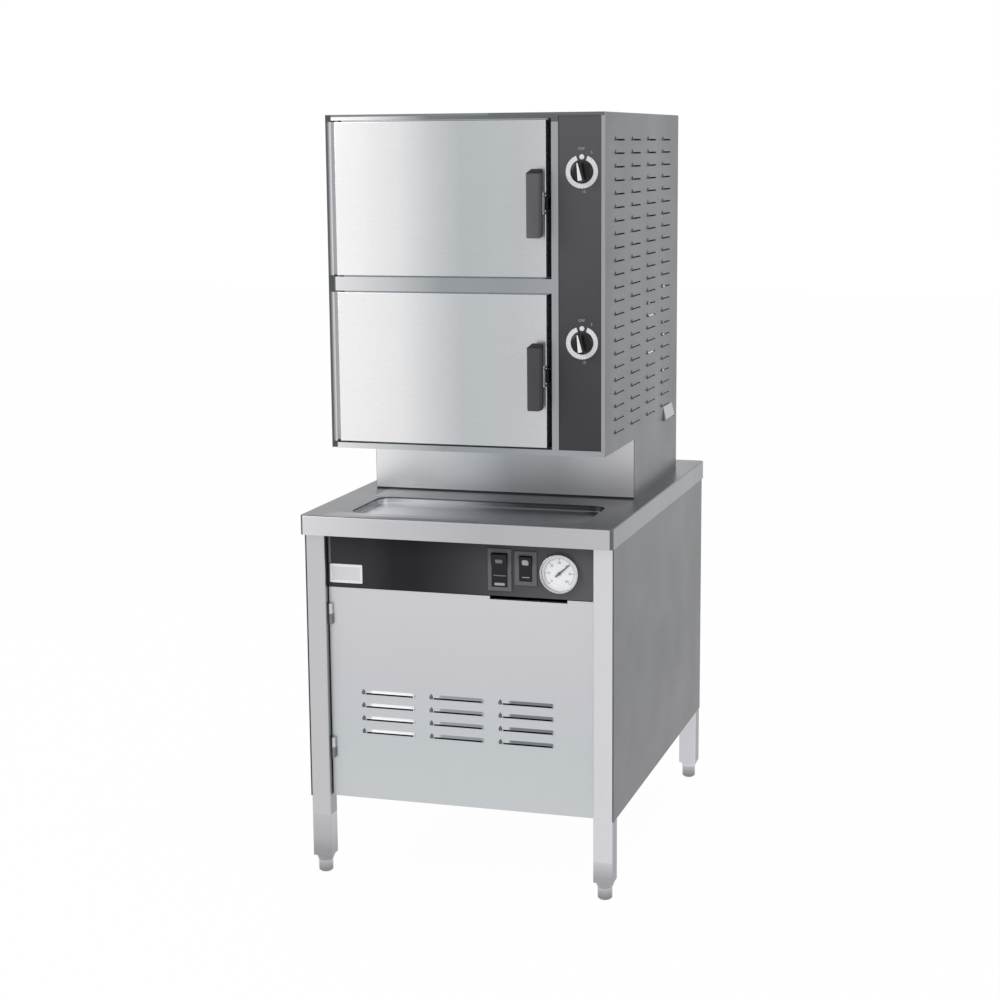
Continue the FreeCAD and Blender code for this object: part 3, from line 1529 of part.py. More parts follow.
def make_baffle(door_z):
    """Right pan rack and fan baffle with the fan's round inlet, and the ledges."""
    z0 = door_z + mouth_overlap
    z1 = z0 + cavity_height
    y0, y1 = frame_back + guide_end_gap, cavity_back - guide_edge_gap
    plate = box(fan_x - guide_sheet, fan_x, y0, y1, z0 + guide_edge_gap, z1 - guide_edge_gap)
    returns = []
    for y in (y0, y1 - guide_sheet):
        returns.append(box(fan_x - guide_sheet, cavity_right, y, y + guide_sheet,
                           z0 + guide_edge_gap, z1 - guide_edge_gap))
    middle = (z0 + z1) / 2
    inlet = rod(inlet_radius, V(fan_x - guide_sheet - guide_ledge - 3, fan_y, middle),
                V(fan_x + 1, fan_y, middle))
    rack = [join(plate, *returns)] + ledges(fan_x - guide_sheet, -1, z0, y0, y1)
    return [piece.cut(inlet) for piece in rack]


def cavity_middle(door_z):
    """Height of a compartment's middle."""
    return door_z + mouth_overlap + cavity_height / 2


def make_wheel(door_z):
    """Centrifugal blower wheel on its motor shaft."""
    z = cavity_middle(door_z)
    x0 = fan_x + wheel_gap
    x1 = x0 + wheel_width
    at = V(x0, fan_y, z)
    disc = rod(wheel_radius, V(x1 - wheel_sheet, fan_y, z), V(x1, fan_y, z))
    ring = tube(wheel_radius, wheel_radius * wheel_eye, at, V(x0 + wheel_sheet, fan_y, z))
    hub = rod(wheel_hub, V(x0 + 6.0, fan_y, z), V(x1, fan_y, z))
    shaft = rod(shaft_radius, V(x0 + 8.0, fan_y, z),
                V(motor_x + motor_plate_sheet + motor_length * shaft_grip, fan_y, z))
    blades = []
    for index in range(wheel_blades):
        blade = box(x0 + 0.5, x1 - 0.5, fan_y - blade_sheet / 2, fan_y + blade_sheet / 2,
                    z + wheel_radius * blade_inner, z + wheel_radius - blade_sheet)
        blade.rotate(V(x0, fan_y, z + wheel_radius * blade_middle), V(1, 0, 0), blade_lean)
        blade.rotate(at, V(1, 0, 0), 360.0 * index / wheel_blades)
        blades.append(blade)
    return join(disc, ring, hub, shaft, *blades)


def make_motor(door_z):
    """Blower motor on a square plate against the compartment's wall."""
    z = cavity_middle(door_z)
    half = motor_plate / 2
    plate = box(motor_x, motor_x + motor_plate_sheet, fan_y - half, fan_y + half, z - half, z + half)
    x0 = motor_x + motor_plate_sheet
    body = rod(motor_radius, V(x0 - 0.5, fan_y, z), V(x0 + motor_length, fan_y, z))
    body = body.makeFillet(motor_round, edges_at(body, "X", x0 + motor_length))
    lead_x = x0 + lead_box_from_plate
    lead_box = box(lead_x, lead_x + lead_box_length, fan_y - lead_box_width / 2, fan_y + lead_box_width / 2,
                   z + motor_radius - 6.0, z + motor_radius + lead_box_rise)
    piece = join(plate, body, lead_box)
    bore = rod(shaft_radius + running_fit, V(motor_x - 1, fan_y, z),
               V(x0 + motor_length * shaft_grip + 1.0, fan_y, z))
    return piece.cut(bore)


# Control column

def make_control_panel():
    """Dark panel behind the trims, with the timers' two bush holes."""
    y0 = panel_front
    plate = box(panel_left - 5.0, panel_right + 4.0, y0, y0 + panel_sheet,
                unit_bottom + 6.0, unit_top - 5.0)
    for z in (upper_dial_z, lower_dial_z):
        plate = plate.cut(rod(bush_radius + bush_fit, V(dial_x, y0 - 1, z), V(dial_x, y0 + 3, z)))
    return plate


def make_timer(z):
    """Spring timer behind the panel, its bush through the hole."""
    half = timer_size / 2
    y0 = panel_front + panel_sheet
    body = box(dial_x - half, dial_x + half, y0, y0 + timer_depth, z - half, z + half)
    bush = rod(bush_radius, V(dial_x, panel_front + 0.2, z), V(dial_x, y0 + 1.0, z))
    bore = rod(shaft_timer + running_fit, V(dial_x, panel_front - 1, z),
               V(dial_x, y0 + timer_shaft_length + 1.0, z))
    return join(body, bush).cut(bore)


def make_dial(z):
    """Printed minute ring round a timer's knob."""
    return tube(dial_outer, knob_radius + dial_gap, V(dial_x, panel_front, z),
                V(dial_x, panel_front - dial_thickness, z))


def make_knob(z):
    """Round knob with a raised pointer grip, leaning as in use."""
    y0 = panel_front - knob_gap
    base = rod(knob_radius, V(dial_x, y0, z), V(dial_x, y0 - knob_base, z))
    base = base.makeChamfer(knob_chamfer, edges_at(base, "Y", y0 - knob_base))
    half = knob_radius - grip_inset
    grip = box(dial_x - grip_width / 2, dial_x + grip_width / 2, y0 - knob_height, y0 - knob_base + 1.0,
               z - half, z + half)
    grip = grip.makeFillet(grip_round, edges_at(grip, "Y", y0 - knob_height))
    grip.rotate(V(dial_x, 0, z), V(0, 1, 0), -grip_tilt)
    shaft = rod(shaft_timer, V(dial_x, y0 - 1.0, z),
                V(dial_x, panel_front + panel_sheet + timer_shaft_length, z))
    return join(base, grip, shaft)


# Doors

def handle_z(door_z):
    """Height of a handle's middle."""
    return door_z + door_height / 2 - handle_drop


def make_skin(door_z):
    """Door front folded back on all four sides, with handle ears."""
    sheet = skin_sheet
    x0, x1 = door_left, door_right
    z0, z1 = door_z, door_z + door_height
    outer = box(x0, x1, unit_front, door_back, z0, z1)
    outer = outer.makeFillet(door_corner / 2, edges_at(outer, "Y", unit_front))
    inner = box(x0 + sheet, x1 - sheet, unit_front + sheet, door_back + 1, z0 + sheet, z1 - sheet)
    skin = outer.cut(inner)
    middle = handle_z(door_z)
    ears = []
    for side in (-1, 1):
        level = middle + side * (boss_height / 2 + ear_gap + ear_thickness / 2)
        a, b = level - ear_thickness / 2, level + ear_thickness / 2
        eye = rod(boss_radius, V(handle_x, handle_y, a), V(handle_x, handle_y, b))
        tongue = box(handle_x - boss_radius, handle_x + boss_radius, handle_y, unit_front + sheet, a, b)
        ears.append(join(eye, tongue))
    reach = boss_height / 2 + ear_gap + ear_thickness
    pin = rod(handle_pin, V(handle_x, handle_y, middle - reach), V(handle_x, handle_y, middle + reach))
    skin = join(skin, pin, *ears)
    slot_z = hook_height / 2 + 1.5
    slot = box(door_right - hook_thickness * 4, door_right + 1, unit_front - 1, unit_front + 24.0,
               middle - slot_z, middle + slot_z)
    keep = rod(handle_pin + 0.5, V(handle_x, handle_y, middle - 50), V(handle_x, handle_y, middle + 50))
    skin = skin.cut(slot.cut(keep))
    for z in (z0, z1):
        skin = skin.cut(rod(hinge_pin + hinge_clear, V(hinge_x, hinge_y, z - 3), V(hinge_x, hinge_y, z + 3)))
    return skin


def make_liner(door_z):
    """Inner door sheet with a raised field and the two pivot blocks."""
    sheet = liner_sheet
    x0, x1 = door_left + skin_sheet, door_right - skin_sheet
    z0, z1 = door_z + skin_sheet, door_z + door_height - skin_sheet
    plate = box(x0, x1, door_back - sheet, door_back, z0, z1)
    inset = gasket_inset + gasket_width + liner_margin
    field = box(door_left + inset, door_right - inset, door_back - sheet, door_back + liner_emboss,
                door_z + inset, door_z + door_height - inset)
    hollow = box(door_left + inset + sheet, door_right - inset - sheet, door_back - 2 * sheet,
                 door_back + liner_emboss - sheet, door_z + inset + sheet, door_z + door_height - inset - sheet)
    liner = join(plate, field).cut(hollow)
    blocks = []
    for a, b in ((z0, z0 + pivot_block), (z1 - pivot_block, z1)):
        blocks.append(box(x0, x0 + pivot_block, unit_front + skin_sheet, door_back, a, b))
    liner = join(liner, *blocks)
    for z, way in ((door_z, 1), (door_z + door_height, -1)):
        liner = liner.cut(rod(hinge_pin + running_fit, V(hinge_x, hinge_y, z - way),
                              V(hinge_x, hinge_y, z + way * (hinge_reach + hinge_play))))
    return liner


def make_gasket(door_z):
    """Soft seal round the back of the door."""
    inset = gasket_inset
    x0, x1 = door_left + inset, door_right - inset
    z0, z1 = door_z + inset, door_z + door_height - inset
    w = gasket_width
    outer = box(x0, x1, door_back, door_back + gasket_depth, z0, z1)
    inner = box(x0 + w, x1 - w, door_back - 1, door_back + gasket_depth + 1, z0 + w, z1 - w)
    ring = outer.cut(inner)
    return ring.makeFillet(gasket_round, edges_at(ring, "Y", door_back + gasket_depth))


def make_handle(door_z):
    """Flat paddle that pivots on the door's pin, with its latch hook."""
    z = handle_z(door_z)
    x1 = door_right + handle_right_gap
    x0 = x1 - handle_width
    y0 = unit_front - handle_proud
    half = handle_height / 2
    bevel, c = handle_bevel, handle_corner
    paddle = prism_y([(x0, z - half + c), (x0 + c, z - half), (x1 - c, z - half), (x1, z - half + c),
                      (x1, z + half - c), (x1 - c, z + half), (x0 + bevel, z + half),
                      (x0, z + half - bevel)], y0, y0 + handle_thickness)
    paddle = paddle.makeChamfer(handle_edge, edges_at(paddle, "Y", y0))
    boss = rod(boss_radius, V(handle_x, handle_y, z - boss_height / 2),
               V(handle_x, handle_y, z + boss_height / 2))
    web = box(handle_x - boss_radius, handle_x + boss_radius, y0 + handle_thickness - 1.0, handle_y,
              z - boss_height / 2, z + boss_height / 2)
    hook_x = post_x - hook_gap() - hook_thickness
    low, high = z - hook_height / 2, z + hook_height / 2
    arm = box(handle_x, hook_x + hook_thickness, handle_y - hook_thickness, handle_y + hook_thickness,
              low, high)
    hook = box(hook_x, hook_x + hook_thickness, handle_y - hook_thickness, unit_front + hook_reach, low, high)
    bore = rod(handle_pin + running_fit, V(handle_x, handle_y, z - 60), V(handle_x, handle_y, z + 60))
    return join(paddle, boss, web, arm, hook).cut(bore)


def hook_gap():
    """Distance from the latch hook to the column post."""
    return notch_clear - 0.5


def make_hinge_block(corner, arm, pins):
    """Dark corner block, with an arm behind the frame that holds a pivot pin for each door."""
    y1 = panel_front + hinge_block_depth
    z0, z1 = arm
    parts = [box(-unit_x + unit_sheet, left_end, unit_front, y1, *corner),
             box(left_end - 1, hinge_x + hinge_block_half, panel_front, y1, z0, z1)]
    for end in pins:
        parts.append(rod(hinge_pin, V(hinge_x, hinge_y, (z0 + z1) / 2), V(hinge_x, hinge_y, end)))
    return join(*parts)


def make_strike(door_z):
    """Keeper on the column post, opposite the latch hook."""
    z = handle_z(door_z)
    half = strike_height / 2
    y0 = unit_front + hook_reach + strike_behind_hook
    return box(post_x - strike_width, post_x, y0, y0 + strike_depth, z - half, z + half)


def make_exhaust_hood():
    """Small vent hood low on the right side."""
    hood, hole = louvre(hood_length, hood_height, hood_proud, hood_slot, unit_sheet)
    hood = hood.cut(hole)
    hood.rotate(V(0, 0, 0), V(0, 0, 1), 90)
    hood.translate(V(unit_x, hood_centre, hood_level))
    return hood


# Every node of the assembly

lower_z = lower_door_z
upper_z = upper_door_z

save("worktop", *make_worktop())
save("drip_strainer", make_strainer())
places = leg_places()
save("cabinet_legs", *[make_leg(*at) for at in places.values()], *[make_socket(*at) for at in places.values()])
for where, at in places.items():
    save("foot_" + where, make_foot(*at))
save("base_frame", *make_rails())
right_panel = make_side_panel()
save("base_side_panels", mirrored(right_panel), right_panel)
save("base_rear_panel", make_base_rear())
save("base_shelf", make_shelf())
save("base_door", make_base_door())
save("base_door_hinges", *[make_base_hinge(level) for level in base_hinge_levels], make_catch())
save("control_strip", make_strip())
save("switch_cases", make_switch_case(power_x, power_z, power_frame, power_rocker),
     make_switch_case(drain_switch_x, drain_switch_z, drain_switch_frame, drain_switch_rocker))
save("power_rocker", make_rocker(power_x, power_z, power_rocker))
save("drain_rocker", make_rocker(drain_switch_x, drain_switch_z, drain_switch_rocker))
save("gauge_case", make_gauge_case())
save("gauge_dial", make_gauge_dial())
save("gauge_needle", make_needle())
save("gauge_lens", make_lens())
save("boiler_shell", make_boiler())
save("boiler_jacket", make_jacket())
save("heating_elements", make_heaters())
save("safety_valve", make_safety_valve())
save("drain_valve_body", make_drain_valve())
save("drain_valve_lever", make_drain_lever())
save("fill_valve", make_fill_valve())
save("contactor_box", make_contactor_box())
save("pipework", *(make_steam_pipes() + make_drain_pipes() + make_blow_down() + make_water_pipe()))
save("pedestal", make_pedestal())
save("top_cover", make_top())
save("left_side_panel", make_left_side())
save("right_side_panel", make_right_side())
save("rear_panel", make_rear())
save("unit_base_pan", make_base_pan())
save("exhaust_hood", make_exhaust_hood())
save("face_frame", make_face_frame())
save("upper_cavity", *make_cavity(upper_z))
save("lower_cavity", *make_cavity(lower_z))
save("insulation", *make_insulation())
save("pan_guides", *(make_left_guide(lower_z) + make_left_guide(upper_z)
                     + make_baffle(lower_z) + make_baffle(upper_z)))
save("upper_blower_wheel", make_wheel(upper_z))
save("lower_blower_wheel", make_wheel(lower_z))
save("blower_motors", make_motor(upper_z), make_motor(lower_z))
save("control_panel", make_control_panel())
save("timers", make_timer(upper_dial_z), make_timer(lower_dial_z))
save("timer_dials", make_dial(upper_dial_z), make_dial(lower_dial_z))
save("upper_timer_knob", make_knob(upper_dial_z))
save("lower_timer_knob", make_knob(lower_dial_z))
floor_level = unit_bottom + unit_sheet
roof_level = unit_top - unit_sheet
lower_door_top = lower_z + door_height
upper_door_top = upper_z + door_height
save("door_hardware",
     make_hinge_block((floor_level, lower_z), (floor_level, sill_top), [lower_z + hinge_reach]),
     make_hinge_block((lower_door_top, upper_z), (mullion_bottom + post_sheet, mullion_top - post_sheet),
                      [lower_door_top - hinge_reach, upper_z + hinge_reach]),
     make_hinge_block((upper_door_top, roof_level), (head_bottom + post_sheet, roof_level),
                      [upper_door_top - hinge_reach]),
     make_strike(lower_z), make_strike(upper_z))
for name, door_z in (("upper_door", upper_z), ("lower_door", lower_z)):
    save(name + "_skin", make_skin(door_z))
    save(name + "_liner", make_liner(door_z))
    save(name + "_gasket", make_gasket(door_z))
    save(name + "_handle", make_handle(door_z))
save("fasteners", *screws(unit_rear_screws() + base_rear_screws() + base_side_screws() + pedestal_screws()))
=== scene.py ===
"""Looks of a two-compartment convection steamer on a boiler cabinet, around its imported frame."""

import json
import logging
import math
from dataclasses import dataclass, field
from enum import Enum
from typing import Callable, Iterable, Sequence

import bmesh
import bpy
from mathutils import Matrix, Vector

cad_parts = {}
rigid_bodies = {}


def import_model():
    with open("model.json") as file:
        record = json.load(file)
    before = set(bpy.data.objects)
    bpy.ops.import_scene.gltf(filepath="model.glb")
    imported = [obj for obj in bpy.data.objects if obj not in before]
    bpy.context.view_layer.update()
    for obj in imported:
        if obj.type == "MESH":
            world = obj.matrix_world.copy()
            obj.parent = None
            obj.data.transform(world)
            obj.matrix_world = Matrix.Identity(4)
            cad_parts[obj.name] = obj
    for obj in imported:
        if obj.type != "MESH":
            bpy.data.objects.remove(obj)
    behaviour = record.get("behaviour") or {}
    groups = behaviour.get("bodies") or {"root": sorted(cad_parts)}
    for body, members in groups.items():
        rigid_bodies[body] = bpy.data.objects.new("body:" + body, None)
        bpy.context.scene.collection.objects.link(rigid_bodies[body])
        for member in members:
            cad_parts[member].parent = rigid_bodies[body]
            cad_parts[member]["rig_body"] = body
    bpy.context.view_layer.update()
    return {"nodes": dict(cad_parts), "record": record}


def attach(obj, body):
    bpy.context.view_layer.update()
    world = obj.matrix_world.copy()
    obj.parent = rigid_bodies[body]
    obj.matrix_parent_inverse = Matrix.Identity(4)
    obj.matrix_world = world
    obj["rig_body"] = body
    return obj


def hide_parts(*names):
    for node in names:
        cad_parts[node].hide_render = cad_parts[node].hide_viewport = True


log = logging.getLogger("steamer")

Point = tuple[float, float, float]
Colour = tuple[float, float, float]

BACK: Point = (0.0, 1.0, 0.0)
FRONT: Point = (0.0, -1.0, 0.0)
UP: Point = (0.0, 0.0, 1.0)
WHITE = (1.0, 1.0, 1.0, 1.0)

# The tone of dust, and the left and right ends of some pieces, in metres
DUST: Colour = (150, 150, 152)
DOOR_SPAN = (-0.2515, 0.158)
FRAME_SPAN = (-0.257, 0.17)
PEDESTAL_SPAN = (-0.24, 0.2685)
BASIN_SPAN = (-0.224, 0.239)
TOP_SPAN = (-0.305, 0.305)

# Limits of the modelling steps: metres, radians and the cosine of a small angle
MERGE_GAP = 1e-6
NODE_MERGE_GAP = 2e-6
FLAT_ANGLE = math.radians(0.4)
SAME_WAY = 0.99
THIN = 1e-4


def linear(colour: Colour) -> tuple[float, float, float, float]:
    """Turns a screen colour, from 0 to 255, into four scene-linear numbers."""
    parts = []
    for part in colour:
        share = part / 255.0
        parts.append(share / 12.92 if share <= 0.04045 else ((share + 0.055) / 1.055) ** 2.4)
    return (parts[0], parts[1], parts[2], 1.0)


def shaded(colour: Colour, share: float) -> tuple[float, float, float, float]:
    """A screen colour in scene-linear numbers, darkened to a share of itself."""
    red, green, blue, alpha = linear(colour)
    return (red * share, green * share, blue * share, alpha)


# Shader maths

class Value:
    """A number that varies over a surface; Python operators add its Math nodes."""

    def __init__(self, graph: "Graph", socket: bpy.types.NodeSocket) -> None:
        """Wraps one output socket of a graph."""
        self.graph = graph
        self.socket = socket

    def math(self, operation: str, other: "Value | float", clamp: bool = False) -> "Value":
        """Adds one Math node.

        Args:
            operation: the node's operation.
            other: the second operand.
            clamp: keeps the result between 0 and 1.

        Returns:
            The node's result.
        """
        settings = {"operation": operation, "use_clamp": clamp}
        node = self.graph.node("ShaderNodeMath", settings, {0: self, 1: other})
        return Value(self.graph, node.outputs[0])

    def __add__(self, other: "Value | float") -> "Value":
        """Sum."""
        return self.math("ADD", other)

    __radd__ = __add__

    def __mul__(self, other: "Value | float") -> "Value":
        """Product."""
        return self.math("MULTIPLY", other)

    def __sub__(self, other: "Value | float") -> "Value":
        """Difference."""
        return self.math("SUBTRACT", other)

    def above(self, edge: float) -> "Value":
        """1 where the value is over an edge, else 0."""
        return self.math("GREATER_THAN", edge)

    def below(self, edge: float) -> "Value":
        """1 where the value is under an edge, else 0."""
        return self.math("LESS_THAN", edge)

    def clamped(self) -> "Value":
        """The value kept between 0 and 1."""
        return self.math("ADD", 0.0, clamp=True)

    def spread(self, low: float, high: float) -> "Value":
        """Maps low to 0 and high to 1, and keeps the result between them."""
        return ((self - low) * (1.0 / (high - low))).clamped()


class Graph:
    """One material's nodes."""

    def __init__(self, name: str) -> None:
        """Starts an empty node material."""
        self.material = bpy.data.materials.new(name)
        self.material.use_nodes = True
        self.tree = self.material.node_tree
        self.tree.nodes.clear()
        self.output = self.node("ShaderNodeOutputMaterial")
        place = self.node("ShaderNodeTexCoord")
        self.place = place.outputs["Object"]

    def node(self, kind: str, settings: dict | None = None, values: dict | None = None) -> bpy.types.Node:
        """Makes any node.

        Args:
            kind: the node's type.
            settings: its own settings.
            values: numbers, sockets or Values for its inputs, by name or place.

        Returns:
            The node.
        """
        node = self.tree.nodes.new(kind)
        for name, setting in (settings or {}).items():
            setattr(node, name, setting)
        for name, value in (values or {}).items():
            socket = node.inputs[name]
            if isinstance(value, Value):
                self.tree.links.new(value.socket, socket)
            elif isinstance(value, bpy.types.NodeSocket):
                self.tree.links.new(value, socket)
            else:
                socket.default_value = value
        return node

    def along(self, axis: str) -> Value:
        """One of the object's coordinates, in metres."""
        node = self.node("ShaderNodeSeparateXYZ", None, {0: self.place})
        return Value(self, node.outputs[axis])

    def noise(self, scale: float | Point, detail: float = 2.0, rough: float = 0.5) -> Value:
        """Noise from 0 to 1, with its cells per metre the same all ways or given along each axis."""
        cells = (scale, scale, scale) if isinstance(scale, float) else scale
        place = self.node("ShaderNodeMapping", {"vector_type": "POINT"},
                          {"Vector": self.place, "Scale": cells})
        node = self.node("ShaderNodeTexNoise", {"noise_dimensions": "3D"},
                         {"Vector": place.outputs[0], "Scale": 1.0, "Detail": detail, "Roughness": rough})
        return Value(self, node.outputs[0])

    def mixed(self, share: "Value | float", low: object, high: object) -> bpy.types.NodeSocket:
        """Mixes two colours, each a socket or four numbers, by the share of the second."""
        node = self.node("ShaderNodeMix", {"data_type": "RGBA"}, {0: share, 6: low, 7: high})
        return node.outputs[2]

    def ramp(self, factor: Value, stops: Sequence[tuple[float, tuple]]) -> bpy.types.NodeSocket:
        """A colour ramp over a value."""
        node = self.node("ShaderNodeValToRGB", None, {0: factor})
        ramp = node.color_ramp
        while len(ramp.elements) < len(stops):
            ramp.elements.new(0.5)
        for element, (where, colour) in zip(ramp.elements, stops):
            element.position = where
            element.color = colour
        return node.outputs[0]

    def bump(self, height: Value, strength: float, distance: float) -> bpy.types.NodeSocket:
        """A bumped normal."""
        node = self.node("ShaderNodeBump", None,
                         {"Height": height, "Strength": strength, "Distance": distance})
        return node.outputs[0]

    def surface(self, **values: object) -> bpy.types.Material:
        """Ends the graph in one surface shader.

        Args:
            values: the shader's sockets, with spaces written as underscores.

        Returns:
            The finished material.
        """
        named = {name.replace("_", " "): value for name, value in values.items()}
        shader = self.node("ShaderNodeBsdfPrincipled", None, named)
        self.tree.links.new(shader.outputs[0], self.output.inputs[0])
        return self.material


# Finishes

class Axis(Enum):
    """The way that a sheet's grain runs, as noise cells per metre along X, Y and Z."""

    X = (9.0, 1400.0, 1400.0)
    Y = (1400.0, 9.0, 1400.0)
    Z = (1400.0, 1400.0, 9.0)


@dataclass(frozen=True)
class Sweep:
    """A slow change of tone along one axis of the frame, used here to paint reflections and shade into base
    colours.
    """

    axis: str
    low: float
    high: float
    stops: tuple[tuple[float, Colour], ...]

    def colour(self, graph: Graph) -> bpy.types.NodeSocket:
        """The tone at each place."""
        place = graph.along(self.axis).spread(self.low, self.high)
        return graph.ramp(place, [(where, linear(tone)) for where, tone in self.stops])


Tone = Colour | Sweep
Span = tuple[float | None, float | None]
OPEN: Span = (None, None)


def painted(graph: Graph, tone: Tone) -> object:
    """A plain tone as four numbers, or a sweep as a socket."""
    return tone.colour(graph) if isinstance(tone, Sweep) else linear(tone)


@dataclass(frozen=True)
class Zone:
    """A box of the frame, in metres, where a piece shows another tone, used here for painted shade,
    highlights and glows.
    """

    tone: Tone
    x: Span = OPEN
    y: Span = OPEN
    z: Span = OPEN

    def share(self, graph: Graph) -> Value:
        """1 inside the box, else 0."""
        masks = []
        for axis, (low, high) in zip("XYZ", (self.x, self.y, self.z)):
            if low is not None:
                masks.append(graph.along(axis).above(low))
            if high is not None:
                masks.append(graph.along(axis).below(high))
        share = masks[0]
        for mask in masks[1:]:
            share = share * mask
        return share


def zoned(graph: Graph, tone: Tone, zones: Sequence[Zone]) -> object:
    """A tone with the zones' tones laid over it, as four numbers or a socket."""
    base = painted(graph, tone)
    for zone in zones:
        base = graph.mixed(zone.share(graph), base, painted(graph, zone.tone))
    return base


@dataclass(frozen=True)
class Steel:
    """Brushed stainless sheet with fine grain and faint handling smudges."""

    name: str
    # The tone and zones carry painted reflections and shade.
    tone: Tone
    grain: Axis = Axis.X
    zones: tuple[Zone, ...] = ()
    rough: float = 0.3
    metal: float = 0.85
    streaks: float = 0.05
    depth: float = 0.00002
    # Painted glow: emission that lights narrow gaps which would otherwise render black.
    stray: tuple[Zone, ...] = ()

    def material(self) -> bpy.types.Material:
        """Builds the material, with a painted glow as emission where a narrow gap would be black."""
        graph = Graph(self.name)
        fine = graph.noise(self.grain.value, 3.0, 0.6)
        smudge = graph.noise(7.0, 3.0, 0.55)
        base = zoned(graph, self.tone, self.zones)
        tone = base if isinstance(base, bpy.types.NodeSocket) else base[:3]
        streak = (fine - 0.5) * self.streaks + (smudge - 0.5) * 0.03 + 1.0
        toned = graph.node("ShaderNodeVectorMath", {"operation": "SCALE"}, {0: tone, "Scale": streak})
        rough = (fine - 0.5) * 0.1 + (smudge - 0.5) * 0.12 + self.rough
        light = {}
        if self.stray:
            light = {"Emission_Color": zoned(graph, (0, 0, 0), self.stray), "Emission_Strength": 1.0}
        return graph.surface(Base_Color=toned.outputs[0], Metallic=self.metal, Roughness=rough,
                             Normal=graph.bump(fine, 0.1, self.depth), **light)


@dataclass(frozen=True)
class Plastic:
    """Moulded or painted surface with a fine orange-peel texture and a little dust."""

    name: str
    tone: Tone
    rough: float = 0.45
    pebble: float = 900.0
    depth: float = 0.00006
    dust: float = 0.02
    shine: float = 0.2
    zones: tuple[Zone, ...] = ()

    def material(self) -> bpy.types.Material:
        """Builds the material."""
        graph = Graph(self.name)
        pebble = graph.noise(self.pebble, 2.0)
        cloud = graph.noise(14.0, 3.0, 0.6)
        base = graph.mixed(cloud.spread(0.45, 0.8) * self.dust, zoned(graph, self.tone, self.zones),
                           linear(DUST))
        rough = (cloud - 0.5) * 0.2 + (pebble - 0.5) * 0.1 + self.rough
        return graph.surface(Base_Color=base, Roughness=rough, Specular_IOR_Level=self.shine,
                             Normal=graph.bump(pebble, 0.3, self.depth))


@dataclass(frozen=True)
class CastMetal:
    """Cast or drawn metal with dull patches, for brass, copper, iron and aluminium."""

    name: str
    tone: Colour
    dull: Colour
    rough: float = 0.35
    metal: float = 0.9
    cell: float = 55.0

    def material(self) -> bpy.types.Material:
        """Builds the material."""
        graph = Graph(self.name)
        patch = graph.noise(self.cell, 4.0, 0.6)
        grit = graph.noise(1100.0, 1.0)
        base = graph.mixed(patch.spread(0.4, 0.72), linear(self.tone), linear(self.dull))
        rough = (patch - 0.5) * 0.3 + self.rough
        return graph.surface(Base_Color=base, Metallic=self.metal, Roughness=rough,
                             Normal=graph.bump(grit, 0.35, 0.00008))


@dataclass(frozen=True)
class Wool:
    """Matted mineral wool."""

    name: str
    tone: Colour

    def material(self) -> bpy.types.Material:
        """Builds the material."""
        graph = Graph(self.name)
        fibre = graph.noise((240.0, 90.0, 240.0), 5.0, 0.7)
        clump = graph.noise(35.0, 4.0, 0.65)
        base = graph.mixed((fibre * 0.6 + clump * 0.4).spread(0.35, 0.65),
                           shaded(self.tone, 0.55), linear(self.tone))
        return graph.surface(Base_Color=base, Roughness=0.95,
                             Normal=graph.bump(fibre + clump, 0.8, 0.0015))


@dataclass(frozen=True)
class Print:
    """Screen-printed ink or enamel, slightly uneven."""

    name: str
    tone: Colour
    rough: float = 0.4

    def material(self) -> bpy.types.Material:
        """Builds the material."""
        graph = Graph(self.name)
        ink = graph.noise(420.0, 3.0, 0.6)
        cloud = graph.noise(30.0, 2.0)
        base = graph.mixed(ink.spread(0.5, 0.85) * 0.5 + cloud.spread(0.5, 0.9) * 0.3,
                           linear(self.tone), shaded(self.tone, 0.86))
        return graph.surface(Base_Color=base, Roughness=(ink - 0.5) * 0.1 + self.rough,
                             Normal=graph.bump(ink, 0.15, 0.00003))


@dataclass(frozen=True)
class Glass:
    """Thin clear glass with faint dust."""

    name: str

    def material(self) -> bpy.types.Material:
        """Builds the material."""
        graph = Graph(self.name)
        dust = graph.noise(160.0, 4.0, 0.65)
        return graph.surface(Base_Color=(0.96, 0.98, 0.98, 1.0), Roughness=dust.spread(0.3, 1.0) * 0.12,
                             Transmission_Weight=1.0, IOR=1.08, Alpha=0.1 + dust.spread(0.45, 0.9) * 0.08)


